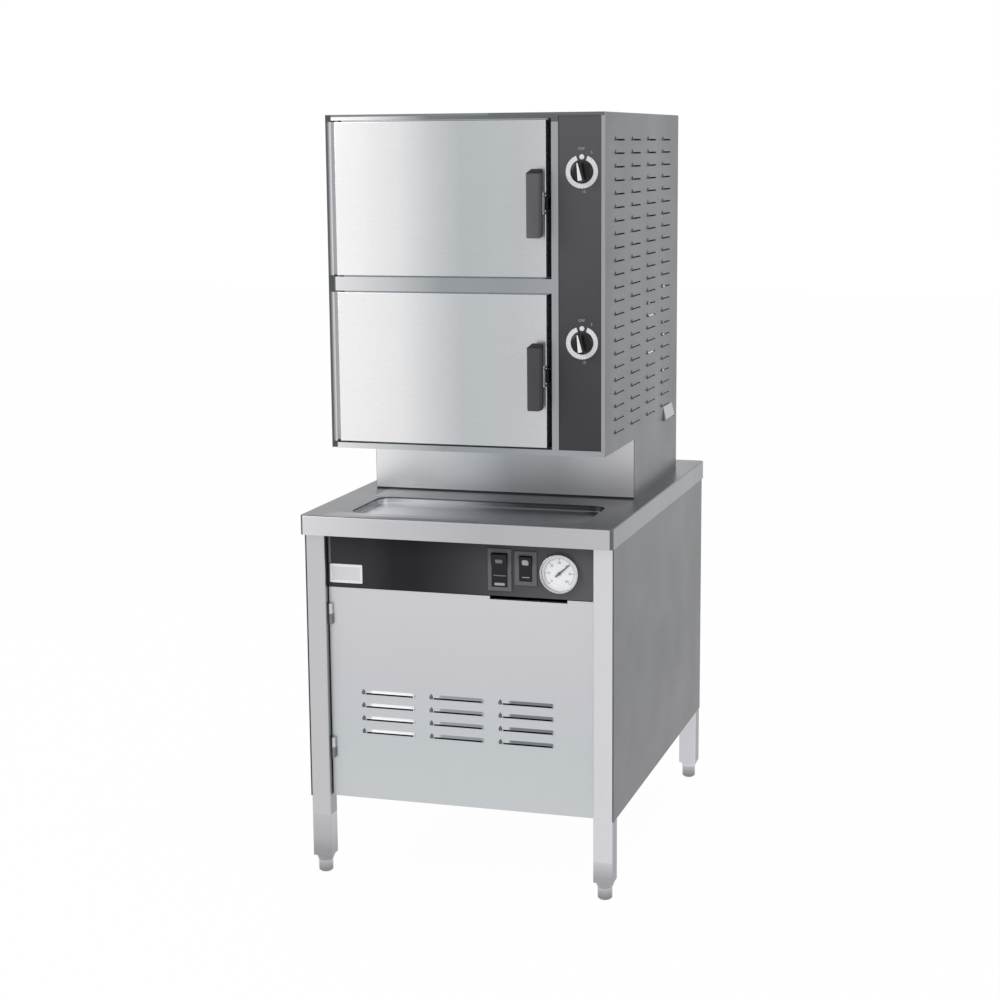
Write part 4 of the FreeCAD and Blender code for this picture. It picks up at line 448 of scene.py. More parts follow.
class FinishBook:
    """Every finish of the machine, built once and handed out by name."""

    def __init__(self) -> None:
        """Builds the materials."""
        finishes = (*self.sheets(), *self.metals(), *self.plastics(), *self.inks())
        self.made = {finish.name: finish.material() for finish in finishes}
        log.info("finishes: %d", len(self.made))

    @staticmethod
    def sheets() -> tuple[Steel, ...]:
        """Sheet steel, with painted reflections and shade: the tones that its surroundings and the lamps give
        it at each place.
        """
        # Painted reflection on the door skins: light at the hinge side, darker towards the latch; the lower
        # door's sweep is a little lighter.
        painted_door_reflection = Sweep("X", *DOOR_SPAN, (
            (0.0, (244, 243, 243)), (0.12, (240, 238, 239)), (0.3, (226, 226, 227)), (0.46, (200, 202, 204)),
            (0.6, (180, 185, 188)), (0.72, (181, 187, 189)), (0.88, (186, 189, 192)), (1.0, (194, 194, 198))))
        lower = Sweep("X", *DOOR_SPAN, (
            (0.0, (241, 241, 241)), (0.12, (239, 238, 238)), (0.3, (230, 230, 231)), (0.46, (206, 208, 210)),
            (0.6, (187, 191, 194)), (0.72, (187, 192, 194)), (0.88, (192, 194, 197)), (1.0, (199, 199, 203))))
        # Painted shade on the cabinet door: a little darker towards the bottom.
        base_door = Sweep("Z", 0.156, 0.571, (
            (0.0, (199, 203, 205)), (0.3, (196, 201, 204)), (0.6, (201, 201, 206)), (1.0, (207, 206, 211))))
        # Painted reflections on the louvre hoods: bright in the left group, grey in the middle, dark in the
        # right, with the door's own tone between groups.
        painted_hood_reflections = Sweep("X", -0.19, 0.183, (
            (0.0, (200, 200, 204)), (0.025, (200, 200, 204)), (0.04, (244, 244, 246)),
            (0.24, (240, 240, 243)), (0.3, (196, 199, 202)), (0.395, (196, 199, 202)),
            (0.41, (150, 153, 157)), (0.62, (142, 146, 150)), (0.66, (196, 199, 202)),
            (0.765, (196, 199, 202)), (0.78, (118, 121, 125)), (1.0, (118, 121, 125))))
        # Painted reflection and shade on the pedestal: light at the left, darker in the middle under the
        # overhang.
        pedestal = Sweep("X", *PEDESTAL_SPAN, (
            (0.0, (236, 237, 239)), (0.2, (226, 228, 230)), (0.35, (206, 209, 212)), (0.5, (177, 180, 184)),
            (0.7, (179, 181, 185)), (0.85, (203, 204, 208)), (1.0, (213, 212, 217))))
        # Painted reflections on the face frame: the mullion and the head light at the left and darker to the
        # right.
        painted_mullion_reflection = Sweep("X", *FRAME_SPAN, (
            (0.0, (224, 224, 226)), (0.25, (196, 200, 203)), (0.5, (151, 156, 160)), (0.8, (148, 153, 157)),
            (1.0, (157, 160, 164))))
        painted_head_reflection = Sweep("X", *FRAME_SPAN, (
            (0.0, (250, 250, 251)), (0.15, (236, 236, 238)), (0.3, (190, 192, 194)), (0.45, (122, 125, 128)),
            (0.75, (104, 107, 110)), (1.0, (98, 100, 104))))
        # Painted reflection and shade on the worktop's top and on the ledge behind the basin, where the
        # pedestal shades it.
        top = Sweep("X", *TOP_SPAN, (
            (0.0, (90, 92, 95)), (0.12, (94, 97, 100)), (0.2, (100, 103, 107)), (0.4, (134, 137, 141)),
            (0.75, (130, 132, 136)), (1.0, (99, 101, 105))))
        painted_ledge_shade = Sweep("X", *PEDESTAL_SPAN, (
            (0.0, (150, 153, 157)), (0.35, (140, 143, 147)), (0.55, (104, 107, 112)), (0.75, (72, 74, 79)),
            (0.9, (78, 80, 85)), (1.0, (98, 100, 104))))
        # Painted reflection and shade on the basin's floor, the apron in front of it, its walls and the dark
        # lines along its edges.
        painted_basin_reflection = Sweep("X", *BASIN_SPAN, (
            (0.0, (232, 234, 237)), (0.2, (216, 218, 222)), (0.38, (184, 186, 190)), (0.55, (146, 148, 153)),
            (0.8, (142, 144, 149)), (1.0, (148, 150, 155))))
        painted_apron_reflection = Sweep("X", -0.26, 0.239, (
            (0.0, (98, 101, 104)), (0.12, (150, 152, 156)), (0.2, (196, 198, 202)), (0.4, (184, 186, 190)),
            (0.57, (146, 148, 153)), (0.8, (140, 142, 147)), (1.0, (128, 130, 134))))
        painted_basin_wall_shade = Sweep("X", *BASIN_SPAN, (
            (0.0, (190, 192, 196)), (0.15, (228, 230, 233)), (0.35, (200, 202, 206)), (0.5, (120, 122, 127)),
            (0.65, (78, 80, 85)), (1.0, (72, 74, 79))))
        painted_basin_edge_shade = Sweep("X", *BASIN_SPAN, (
            (0.0, (84, 86, 90)), (0.1, (112, 114, 118)), (0.35, (112, 114, 118)), (0.6, (66, 67, 72)),
            (1.0, (60, 61, 66))))
        # Painted reflection along the worktop rim's front face.
        painted_rim_reflection = Sweep("X", *TOP_SPAN, (
            (0.0, (217, 217, 220)), (0.3, (196, 196, 200)), (0.6, (181, 180, 185)), (1.0, (189, 188, 193))))
        # Painted shade on the legs: the left ones a little darker than the right, the sockets darker towards
        # the floor, and the feet dark at the bottom with a painted highlight above.
        painted_leg_shade = Sweep("X", -0.3, 0.3, ((0.0, (195, 195, 198)), (1.0, (214, 213, 218))))
        painted_left_socket_shade = Sweep("Z", 0.045, 0.12, (
            (0.0, (154, 154, 157)), (0.4, (178, 178, 181)), (1.0, (190, 190, 194))))
        painted_right_socket_shade = Sweep("Z", 0.045, 0.078, ((0.0, (164, 164, 168)), (1.0, (204, 204, 208))))
        painted_foot_light = Sweep("Z", 0.0, 0.045, (
            (0.0, (124, 124, 127)), (0.3, (160, 160, 164)), (0.6, (196, 196, 200)),
            (1.0, (156, 156, 160))))
        # Painted shade and highlight across the left side panel's front return: dark at its outer edge, light
        # near the doors.
        painted_left_lip_light = Sweep("X", -0.2685, -0.257, (
            (0.0, (84, 84, 87)), (0.35, (98, 98, 101)), (0.6, (160, 161, 163)), (0.82, (208, 209, 211)),
            (1.0, (190, 192, 194))))
        return (
            # Door skins with painted reflections, a painted highlight along the hinge-side edge, and a
            # painted glow on the lower door's top face in the gap under the mullion.
            Steel("door_steel", painted_door_reflection, Axis.X, (
                Zone(lower, z=(None, 1.145)), Zone((228, 228, 230), x=(None, -0.2497))), 0.28, 0.8,
                stray=(Zone((112, 113, 116), y=(-0.3322, None), z=(1.1286, 1.1292)),)),
            # Cabinet door with painted shade and painted reflections on its louvre hoods.
            Steel("front_steel", base_door, Axis.X,
                  (Zone(painted_hood_reflections, y=(None, -0.3866), z=(0.25, 0.4)),), 0.34, 0.8),
            # Pedestal with painted reflection and shade, its right side face darker as painted shade, and a
            # dark band at its foot: painted contact shadow and the dark joint.
            Steel("pedestal_steel", pedestal, Axis.X, (
                Zone((126, 128, 132), x=(0.2682, None)), Zone((64, 65, 70), z=(None, 0.7172))), 0.3),
            # Face frame with painted reflections, painted shade at the mullion's left end, a painted shadow
            # in the latch-side gap, and painted glows lighting the gaps at the head and over the mullion.
            Steel("frame_steel", painted_mullion_reflection, Axis.X, (
                Zone(painted_head_reflection, z=(1.44, None)),
                Zone((104, 106, 110), x=(None, -0.2545), z=(1.125, 1.163)),
                Zone((60, 59, 63), x=(0.1565, 0.1695), y=(-0.3305, None))),
                stray=(Zone((138, 139, 142), x=(None, 0.15), y=(-0.31, None), z=(1.4425, 1.4475)),
                       Zone((104, 105, 108), x=(None, 0.15), y=(-0.3322, None), z=(1.1572, 1.1577)))),
            # Side panels toned darker than the front sheets as painted shade of faces turned from the key
            # lamp, darker towards both ends; painted shade on the right panel's louvre hoods; painted shade
            # and highlight on the left front return, a lighter right front return as a lit face, and a
            # painted glow on the left panel's inner face in the door gap.
            Steel("side_steel", Sweep("Y", -0.3331, 0.2959, (
                (0.0, (95, 96, 99)), (0.12, (107, 109, 112)), (0.7, (109, 111, 114)),
                (1.0, (98, 99, 101)))), Axis.Y, (
                Zone((104, 107, 111), x=(0.2692, None)),
                Zone(painted_left_lip_light, x=(None, 0.0), y=(None, -0.3326)),
                Zone((158, 158, 162), x=(0.0, None), y=(None, -0.3326))), 0.36, 0.8,
                stray=(Zone((150, 151, 154), x=(-0.2678, -0.2566), y=(-0.3326, None)),)),
            # Cabinet side panels toned dark as painted shade of faces turned from the key lamp, a little
            # darker in the middle.
            Steel("cabinet_side_steel", Sweep("Z", 0.15, 0.67, (
                (0.0, (98, 98, 102)), (0.5, (93, 95, 99)), (1.0, (104, 106, 110)))), Axis.Y, (), 0.36, 0.8),
            # Worktop with painted reflections and shade from the sweeps above, a darker painted band along
            # the front of the top at the left, and its right side face darker as painted shade.
            Steel("worktop_steel", top, Axis.X, (
                Zone(painted_ledge_shade, x=(-0.24, 0.2685), y=(-0.1871, -0.09), z=(0.7135, None)),
                Zone(painted_basin_reflection, x=(-0.2245, 0.2395), y=(-0.4185, -0.1865), z=(None, 0.7037)),
                Zone(painted_apron_reflection, x=(-0.26, 0.2385), y=(-0.4187, -0.3725), z=(0.7135, None)),
                Zone((122, 123, 127), x=(-0.24, 0.05), y=(-0.4187, -0.396), z=(0.7135, None)),
                Zone(painted_basin_wall_shade, x=(-0.2245, 0.2395), y=(-0.3735, -0.1865), z=(0.7037, 0.7108)),
                Zone(painted_basin_edge_shade, x=(-0.2245, 0.2395), y=(-0.3735, -0.1865), z=(0.7108, 0.7138)),
                Zone(painted_rim_reflection, y=(None, -0.4186)),
                Zone((134, 136, 139), x=(0.3043, None)))),
            # Legs with painted shade on their right side faces, on the left legs' inner side faces and at the
            # sockets, over a painted sweep from left to right.
            Steel("leg_steel", painted_leg_shade, Axis.Z, (
                Zone((138, 139, 143), x=(0.3004, None)),
                Zone((150, 151, 155), x=(-0.2628, 0.0)),
                Zone(painted_left_socket_shade, x=(None, 0.0), y=(None, -0.3), z=(None, 0.119)),
                Zone(painted_right_socket_shade, x=(0.0, 0.3003), y=(None, -0.3), z=(None, 0.076)))),
            # Feet with painted shade at the bottom and a painted highlight above it.
            Steel("foot_steel", painted_foot_light, Axis.Z, (), 0.28, 0.9),
            Steel("bright_steel", (198, 199, 202), Axis.X, (), 0.2, 0.95),
            Steel("hood_steel", (176, 177, 180), Axis.X, (), 0.3, 0.9),
            # Strainer toned dark as painted shade of the drain's hollow.
            Steel("strainer_steel", (96, 98, 102), Axis.X, (), 0.35, 0.9),
            Steel("hinge_steel", (128, 130, 134), Axis.Z, (), 0.35, 0.9),
            # Latch hook painted near-black beyond the door's edge, as painted shade where it runs through the
            # dark gap.
            Steel("hook_steel", (206, 206, 209), Axis.Z, (Zone((26, 26, 29), x=(0.1588, None)),), 0.35, 0.8),
            # Top cover with a painted reflection along the lower edge of its front and painted shade on the
            # right of its front above it.
            Steel("cover_steel", (126, 129, 133), Axis.X, (
                Zone(painted_head_reflection, y=(None, -0.3322), z=(1.445, 1.4528)),
                Zone((104, 106, 110), x=(0.05, None), y=(None, -0.3322), z=(1.4528, None))), 0.34, 0.85),
            Steel("cavity_steel", (176, 179, 182), Axis.Y, (), 0.26, 0.9),
            Steel("liner_steel", (190, 192, 195), Axis.X, (), 0.28, 0.9),
            Steel("rack_steel", (182, 184, 188), Axis.Y, (), 0.24, 0.9),
        )

    @staticmethod
    def metals() -> tuple[CastMetal | Wool, ...]:
        """Cast, drawn and fired metals, and the wool around them."""
        return (
            CastMetal("boiler_steel", (150, 152, 155), (112, 110, 108), 0.42),
            CastMetal("element_steel", (92, 86, 84), (60, 54, 52), 0.5),
            CastMetal("valve_brass", (186, 152, 84), (132, 104, 58), 0.32),
            CastMetal("pipe_copper", (190, 118, 82), (128, 76, 56), 0.34),
            CastMetal("lever_steel", (176, 178, 182), (140, 141, 144), 0.3),
            Wool("insulation_wool", (196, 182, 138)),
        )

    @staticmethod
    def grip(name: str, tone: Colour, painted_side_shade: Colour, top: float) -> Plastic:
        """A handle's moulding, with painted shade over its sloping upper end and down its outer side."""
        return Plastic(name, tone, 0.5, 700.0, 0.0001, 0.02, 0.15, (
            Zone(painted_side_shade, x=(0.1525, None)),
            Zone((44, 43, 47), z=(top - 0.0082, None))))

    def plastics(self) -> tuple[Plastic, ...]:
        """Painted, moulded and rubber surfaces."""
        # Painted reflection along the control strip: darker left of the middle, lighter to the right.
        strip = Sweep("X", -0.2607, 0.2607, (
            (0.0, (60, 60, 62)), (0.16, (54, 53, 56)), (0.25, (38, 37, 40)), (0.34, (37, 36, 39)),
            (0.45, (51, 50, 53)), (0.6, (73, 72, 75)), (0.78, (87, 86, 90)), (1.0, (101, 100, 104))))
        # Painted shade on the control column: darker towards the bottom.
        painted_column_shade = Sweep("Z", 0.838, 1.452, (
            (0.0, (66, 64, 69)), (0.3, (73, 72, 77)), (0.6, (83, 82, 86)), (0.85, (90, 89, 93)),
            (1.0, (92, 91, 95))))
        return (
            # Control strip with a painted shadow line along its top edge.
            Plastic("black_fascia", strip, 0.4, 1200.0, 0.00003, 0.01, 0.1,
                    (Zone((22, 22, 24), z=(0.6775, None)),)),
            Plastic("control_fascia", painted_column_shade, 0.42, 1200.0, 0.00003, 0.01, 0.12),
            Plastic("switch_black", (24, 23, 26), 0.35, 1500.0, 0.00002, 0.01, 0.25),
            Plastic("bezel_grey", (106, 105, 109), 0.4, 1500.0, 0.00003, 0.01, 0.15),
            # One moulding for both handles, the lower one toned darker as painted shade.
            self.grip("upper_grip", (97, 96, 101), (82, 81, 86), 1.3565),
            self.grip("lower_grip", (75, 74, 79), (64, 63, 68), 1.0415),
            Plastic("knob_black", (20, 19, 22), 0.3, 1500.0, 0.00003, 0.01, 0.3),
            Plastic("block_dark", (78, 82, 84), 0.5, 600.0, 0.00012),
            Plastic("seal_rubber", (52, 51, 53), 0.75, 500.0, 0.00015, 0.04),
            Plastic("electrical_grey", (128, 132, 136), 0.5, 600.0, 0.0001),
            Plastic("contact_black", (34, 34, 37), 0.5, 800.0, 0.00008),
            Plastic("motor_paint", (66, 74, 82), 0.45, 500.0, 0.00012, 0.04),
        )

    @staticmethod
    def inks() -> tuple[Print | Glass, ...]:
        """Prints, enamels and glass."""
        return (
            Print("dial_white", (252, 252, 253), 0.35),
            Print("print_white", (240, 241, 243), 0.4),
            Print("label_white", (244, 244, 246), 0.45),
            Print("label_field", (222, 221, 225), 0.45),
            # Grey and dim inks, used for printed marks and also for painted highlights on the rockers and the
            # strip's left edge.
            Print("print_grey", (168, 168, 172), 0.45),
            Print("mark_dim", (112, 112, 116), 0.45),
            # Dark tone for the painted shadow at the left end of each louvre.
            Print("louvre_end", (96, 98, 103), 0.5),
            Print("needle_black", (30, 30, 33), 0.4),
            Print("pointer_grey", (104, 104, 110), 0.4),
            Glass("clear_glass"),
        )

    def __getitem__(self, name: str) -> bpy.types.Material:
        """The material of that name."""
        return self.made[name]


# Modelling

class Part(Enum):
    """What is selected on a mesh."""

    VERT = "VERT"
    EDGE = "EDGE"
    FACE = "FACE"


class Mode(Enum):
    """The mode that an object is in."""

    OBJECT = "OBJECT"
    EDIT = "EDIT"


class Bench:
    """Models one piece with the edit-mode tools, as by hand."""

    def __init__(self) -> None:
        """Starts with nothing on the bench."""
        self.obj: bpy.types.Object | None = None

    @staticmethod
    def clear() -> None:
        """Goes to object mode with nothing selected."""
        if bpy.context.object is not None and bpy.context.object.mode != "OBJECT":
            bpy.ops.object.mode_set(mode="OBJECT")
        bpy.ops.object.select_all(action="DESELECT")

    def mode(self, mode: Mode) -> None:
        """Goes to a mode, unless the piece is in it."""
        if self.obj.mode != mode.value:
            bpy.ops.object.mode_set(mode=mode.value)

    def focus(self) -> None:
        """Selects the piece alone and makes it the active one."""
        self.clear()
        self.obj.select_set(True)
        bpy.context.view_layer.objects.active = self.obj

    def whole(self) -> None:
        """Selects the whole mesh in edit mode."""
        self.mode(Mode.EDIT)
        bpy.ops.mesh.select_all(action="SELECT")

    def adopt(self) -> "Bench":
        """Takes the newest primitive, with its place in its mesh."""
        self.obj = bpy.context.object
        bpy.ops.object.transform_apply(location=True, rotation=True, scale=True)
        return self

    def copied(self, node: bpy.types.Object) -> "Bench":
        """Starts from a merged copy of a node, with its flat faces whole again."""
        self.obj = bpy.data.objects.new("copy", node.data.copy())
        bpy.context.scene.collection.objects.link(self.obj)
        self.focus()
        bpy.ops.mesh.customdata_custom_splitnormals_clear()
        self.whole()
        bpy.ops.mesh.remove_doubles(threshold=NODE_MERGE_GAP)
        bpy.ops.mesh.dissolve_limited(angle_limit=FLAT_ANGLE)
        self.mode(Mode.OBJECT)
        return self

    def block(self, low: Point, high: Point) -> "Bench":
        """Starts from a cube between two corners."""
        self.clear()
        middle = (Vector(low) + Vector(high)) / 2
        bpy.ops.mesh.primitive_cube_add(size=1.0, location=middle)
        bpy.context.object.scale = Vector(high) - Vector(low)
        return self.adopt()

    def drum(self, radius: float, start: Point, end: Point, sides: int = 32) -> "Bench":
        """Starts from a cylinder between two points."""
        self.clear()
        run = Vector(end) - Vector(start)
        bpy.ops.mesh.primitive_cylinder_add(vertices=sides, radius=radius, depth=run.length,
                                            location=(Vector(start) + Vector(end)) / 2,
                                            rotation=run.to_track_quat("Z", "Y").to_euler())
        return self.adopt()

    def outline(self, points: Sequence[tuple[float, float]], depth: float, way: Point,
                lift: Callable[[float, float], Point]) -> "Bench":
        """Starts from a flat face of the given outline and gives it a depth.

        Args:
            points: the outline's corners, in order, in the face's own two directions.
            depth: how far it is extruded.
            way: the direction of the depth.
            lift: turns an outline point into a place.

        Returns:
            The bench.
        """
        self.clear()
        bpy.ops.mesh.primitive_circle_add(vertices=len(points), radius=0.01, fill_type="NGON")
        self.adopt()
        for vertex, point in zip(self.obj.data.vertices, points):
            vertex.co = lift(*point)
        self.whole()
        self.extrude(tuple(Vector(way) * depth))
        return self.outward()

    def turned(self, profile: Sequence[tuple[float, float]], sides: int = 32) -> "Bench":
        """Turns a profile about the upright axis, ring by ring.

        Args:
            profile: (radius, height) from one end to the other; a radius of 0 closes it.
            sides: how many sides each ring has.

        Returns:
            The bench.
        """
        self.clear()
        rings = [step for step in profile if step[0] > 0.0]
        radius, height = rings[0]
        bpy.ops.mesh.primitive_circle_add(vertices=sides, radius=radius, location=(0.0, 0.0, height))
        self.adopt()
        self.mode(Mode.EDIT)
        bpy.ops.mesh.select_mode(type="EDGE")
        bpy.ops.mesh.select_all(action="SELECT")
        if profile[0][0] <= 0.0:
            self.extrude((0.0, 0.0, profile[0][1] - height))
            bpy.ops.mesh.merge(type="CENTER")
            self.pick(Part.EDGE,
                      lambda edge: all(abs(v.co.xy.length - radius) < MERGE_GAP for v in edge.verts))
        for wide, high in rings[1:]:
            self.extrude((0.0, 0.0, high - height))
            self.resize((wide / radius, wide / radius, 1.0), (0.0, 0.0, high))
            radius, height = wide, high
        if profile[-1][0] <= 0.0:
            self.extrude((0.0, 0.0, profile[-1][1] - height))
            bpy.ops.mesh.merge(type="CENTER")
        return self.outward()

    def pick(self, part: Part, test: Callable[[object], bool]) -> None:
        """Selects the vertices, edges or faces that pass a test."""
        self.mode(Mode.EDIT)
        bpy.ops.mesh.select_mode(type=part.value)
        bpy.ops.mesh.select_all(action="DESELECT")
        mesh = bmesh.from_edit_mesh(self.obj.data)
        found = 0
        for element in {Part.VERT: mesh.verts, Part.EDGE: mesh.edges, Part.FACE: mesh.faces}[part]:
            if test(element):
                element.select_set(True)
                found += 1
        bmesh.update_edit_mesh(self.obj.data)
        if not found:
            raise ValueError("nothing to select on " + self.obj.name)

    def faces_towards(self, way: Point) -> "Bench":
        """Selects the faces that look one way."""
        look = Vector(way).normalized()
        self.pick(Part.FACE, lambda face: face.normal.dot(look) > SAME_WAY)
        return self

    def edges_where(self, near: Callable[[Vector, Vector], bool]) -> "Bench":
        """Selects the edges whose two ends pass a test."""
        self.pick(Part.EDGE, lambda edge: near(edge.verts[0].co, edge.verts[1].co))
        return self

    def depth_edges(self) -> "Bench":
        """Selects the edges that run from front to back."""
        return self.edges_where(lambda a, b: abs(a.y - b.y) > THIN)

    def extrude(self, way: Point) -> "Bench":
        """Extrudes what is selected."""
        bpy.ops.mesh.extrude_region_move(TRANSFORM_OT_translate={"value": way})
        return self

    def bevel(self, width: float, steps: int = 2) -> "Bench":
        """Bevels the selected edges."""
        bpy.ops.mesh.bevel(offset=width, offset_type="OFFSET", segments=steps, affect="EDGES")
        return self

    def resize(self, value: Point, middle: Point) -> "Bench":
        """Resizes what is selected about a point."""
        bpy.ops.transform.resize(value=value, center_override=middle)
        return self

    def outward(self) -> "Bench":
        """Merges doubles and points the faces outwards."""
        self.whole()
        bpy.ops.mesh.remove_doubles(threshold=MERGE_GAP)
        bpy.ops.mesh.normals_make_consistent(inside=False)
        self.mode(Mode.OBJECT)
        return self

    def soften(self, width: float, steps: int = 2, angle: float = 30.0) -> "Bench":
        """Rounds the sharp edges with an applied modifier."""
        self.mode(Mode.OBJECT)
        modifier = self.obj.modifiers.new("round", "BEVEL")
        modifier.width = width
        modifier.segments = steps
        modifier.limit_method = "ANGLE"
        modifier.angle_limit = math.radians(angle)
        bpy.ops.object.modifier_apply(modifier=modifier.name)
        return self

    def flatten(self) -> "Bench":
        """Keeps broad faces flat in the shading beside their rounded edges."""
        modifier = self.obj.modifiers.new("flat", "WEIGHTED_NORMAL")
        modifier.keep_sharp = True
        modifier.weight = 100
        bpy.ops.object.modifier_apply(modifier=modifier.name)
        return self

    def place(self, matrix: Matrix) -> "Bench":
        """Turns and moves the mesh itself."""
        self.mode(Mode.OBJECT)
        self.obj.data.transform(matrix)
        return self

    def repeat(self, places: Iterable[Matrix]) -> "Bench":
        """Sets copies of the piece, each with its own mesh, and joins them into one."""
        self.mode(Mode.OBJECT)
        pattern = self.obj
        copies = []
        for matrix in places:
            copy = pattern.copy()
            copy.data = pattern.data.copy()
            copy.data.transform(matrix)
            bpy.context.scene.collection.objects.link(copy)
            copies.append(copy)
        self.clear()
        bpy.data.objects.remove(pattern)
        for copy in copies:
            copy.select_set(True)
        bpy.context.view_layer.objects.active = copies[0]
        if len(copies) > 1:
            bpy.ops.object.join()
        self.obj = copies[0]
        return self

    def add(self, other: "Bench") -> "Bench":
        """Joins another bench's piece to this one."""
        self.focus()
        other.obj.select_set(True)
        bpy.ops.object.join()
        return self

    def words(self, text: str, size: float, depth: float = 0.0001) -> "Bench":
        """Starts from plain figures that lie on the ground, centred, and makes them a mesh."""
        self.clear()
        bpy.ops.object.text_add()
        words = bpy.context.object
        words.data.body = text
        words.data.size = size
        words.data.extrude = depth
        words.data.resolution_u = 3
        words.data.align_x = "CENTER"
        words.data.align_y = "CENTER"
        bpy.ops.object.convert(target="MESH")
        return self.adopt()

    def finish(self, name: str, material: bpy.types.Material, body: str, slot: str,
               replaced: Sequence[str] = (), angle: float = 35.0) -> bpy.types.Object:
        """Smooths, names, dresses and hangs the piece.

        Args:
            name: the piece's name.
            material: its material.
            body: the body it rides on.
            slot: the record's material slot; not used.
            replaced: the nodes it stands for.
            angle: edges sharper than this stay sharp.

        Returns:
            The finished piece.
        """
        self.mode(Mode.OBJECT)
        self.focus()
        bpy.ops.object.shade_smooth_by_angle(angle=math.radians(angle))
        self.obj.name = name
        self.obj.data.name = name
        self.obj.data.materials.clear()
        self.obj.data.materials.append(material)
        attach(self.obj, body)
        if replaced:
            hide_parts(*replaced)
        log.info("piece %s: %d faces", name, len(self.obj.data.polygons))
        return self.obj


def facing_front(x: float, y: float, z: float) -> Matrix:
    """Turns a piece modelled on the ground so that its top looks forward, and moves it."""
    return Matrix.Translation((x, y, z)) @ Matrix.Rotation(math.radians(90.0), 4, "X")


def joined(pieces: Iterable[Bench]) -> Bench:
    """Joins pieces into the first of them, each as soon as it is made."""
    left = iter(pieces)
    first = next(left)
    for piece in left:
        first.add(piece)
    return first


def ring_points(radii: tuple[float, float], start: float, turn: float,
                steps: int) -> list[tuple[float, float]]:
    """The outline of an open ring.

    Args:
        radii: the radius to go along first, and the one to come back along.
        start: the angle to start from, in degrees.
        turn: how far it goes, in degrees.
        steps: how many sides each radius has.

    Returns:
        The outline's corners, in order.
    """
    points = []
    for radius, run in ((radii[0], range(steps + 1)), (radii[1], range(steps, -1, -1))):
        for step in run:
            angle = math.radians(start + turn * step / steps)
            points.append((math.cos(angle) * radius, math.sin(angle) * radius))
    return points


# Sub-assemblies

# Which nodes have each finish
WORN = {
    "worktop_steel": "worktop",
    "strainer_steel": "drip_strainer",
    "leg_steel": "cabinet_legs base_frame",
    "foot_steel": "foot_front_left foot_front_right foot_rear_left foot_rear_right",
    "cabinet_side_steel": "base_side_panels",
    "cover_steel": "base_rear_panel base_shelf top_cover",
    "front_steel": "base_door",
    "hinge_steel": "base_door_hinges",
    "black_fascia": "control_strip",
    "bezel_grey": "switch_cases",
    "switch_black": "power_rocker drain_rocker",
    "bright_steel": "gauge_case fasteners",
    "dial_white": "gauge_dial",
    "needle_black": "gauge_needle",
    "clear_glass": "gauge_lens",
    "boiler_steel": "boiler_shell",
    "insulation_wool": "boiler_jacket insulation",
    "element_steel": "heating_elements",
    "valve_brass": "safety_valve drain_valve_body fill_valve",
    "lever_steel": "drain_valve_lever",
    "electrical_grey": "contactor_box",
    "pipe_copper": "pipework",
    "pedestal_steel": "pedestal",
    "side_steel": "left_side_panel right_side_panel rear_panel",
    "frame_steel": "unit_base_pan face_frame",
    "hood_steel": "exhaust_hood",
    "cavity_steel": "upper_cavity lower_cavity",
    "rack_steel": "pan_guides upper_blower_wheel lower_blower_wheel",
    "motor_paint": "blower_motors",
    "control_fascia": "control_panel",
    "contact_black": "timers",
    "print_white": "timer_dials",
    "knob_black": "upper_timer_knob lower_timer_knob",
    "block_dark": "door_hardware",
    "door_steel": "upper_door_skin lower_door_skin",
    "liner_steel": "upper_door_liner lower_door_liner",
    "seal_rubber": "upper_door_gasket lower_door_gasket",
    "upper_grip": "upper_door_handle",
    "lower_grip": "lower_door_handle",
}


@dataclass
class CarriedNodes:
    """The frame's own nodes that are shown as they are, with their finishes."""

    finishes: FinishBook
    nodes: dict[str, bpy.types.Object]
    wear: dict[str, str] = field(default_factory=lambda: {
        node: finish for finish, nodes in WORN.items() for node in nodes.split()
    })

    def dress(self) -> None:
        """Gives each node its finish."""
        for name, node in self.nodes.items():
            material = self.finishes[self.wear[name]]
            if not node.data.materials:
                node.data.materials.append(material)
            for slot in node.material_slots:
                slot.material = material
            log.info("node %s: %s", name, self.wear[name])


@dataclass
class FoldedSheets:
    """Sheet-metal nodes shown through copies whose folds have their small real radius."""

    finishes: FinishBook
    nodes: dict[str, bpy.types.Object]
    wear: dict[str, str]
    slots: dict[str, str]
    folds: dict[str, float] = field(default_factory=lambda: {
        "worktop": 0.0016, "cabinet_legs": 0.0018, "base_door": 0.0008, "base_side_panels": 0.0008,
        "control_strip": 0.0010, "pedestal": 0.0010, "top_cover": 0.0010, "left_side_panel": 0.0009,
        "right_side_panel": 0.0009, "face_frame": 0.0006, "control_panel": 0.0008, "upper_door_skin": 0.0015,
        "lower_door_skin": 0.0015, "rear_panel": 0.0008, "exhaust_hood": 0.0010,
    })
    steps: int = 2
    sharp: float = 40.0

    def build(self) -> None:
        """Rounds the folds of each sheet."""
        for name, radius in self.folds.items():
            node = self.nodes[name]
            sheet = Bench().copied(node).soften(radius, self.steps, self.sharp)
            sheet.finish(name + "_folded", self.finishes[self.wear[name]], str(node["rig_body"]),
                         self.slots[name], (name,))
            sheet.flatten()


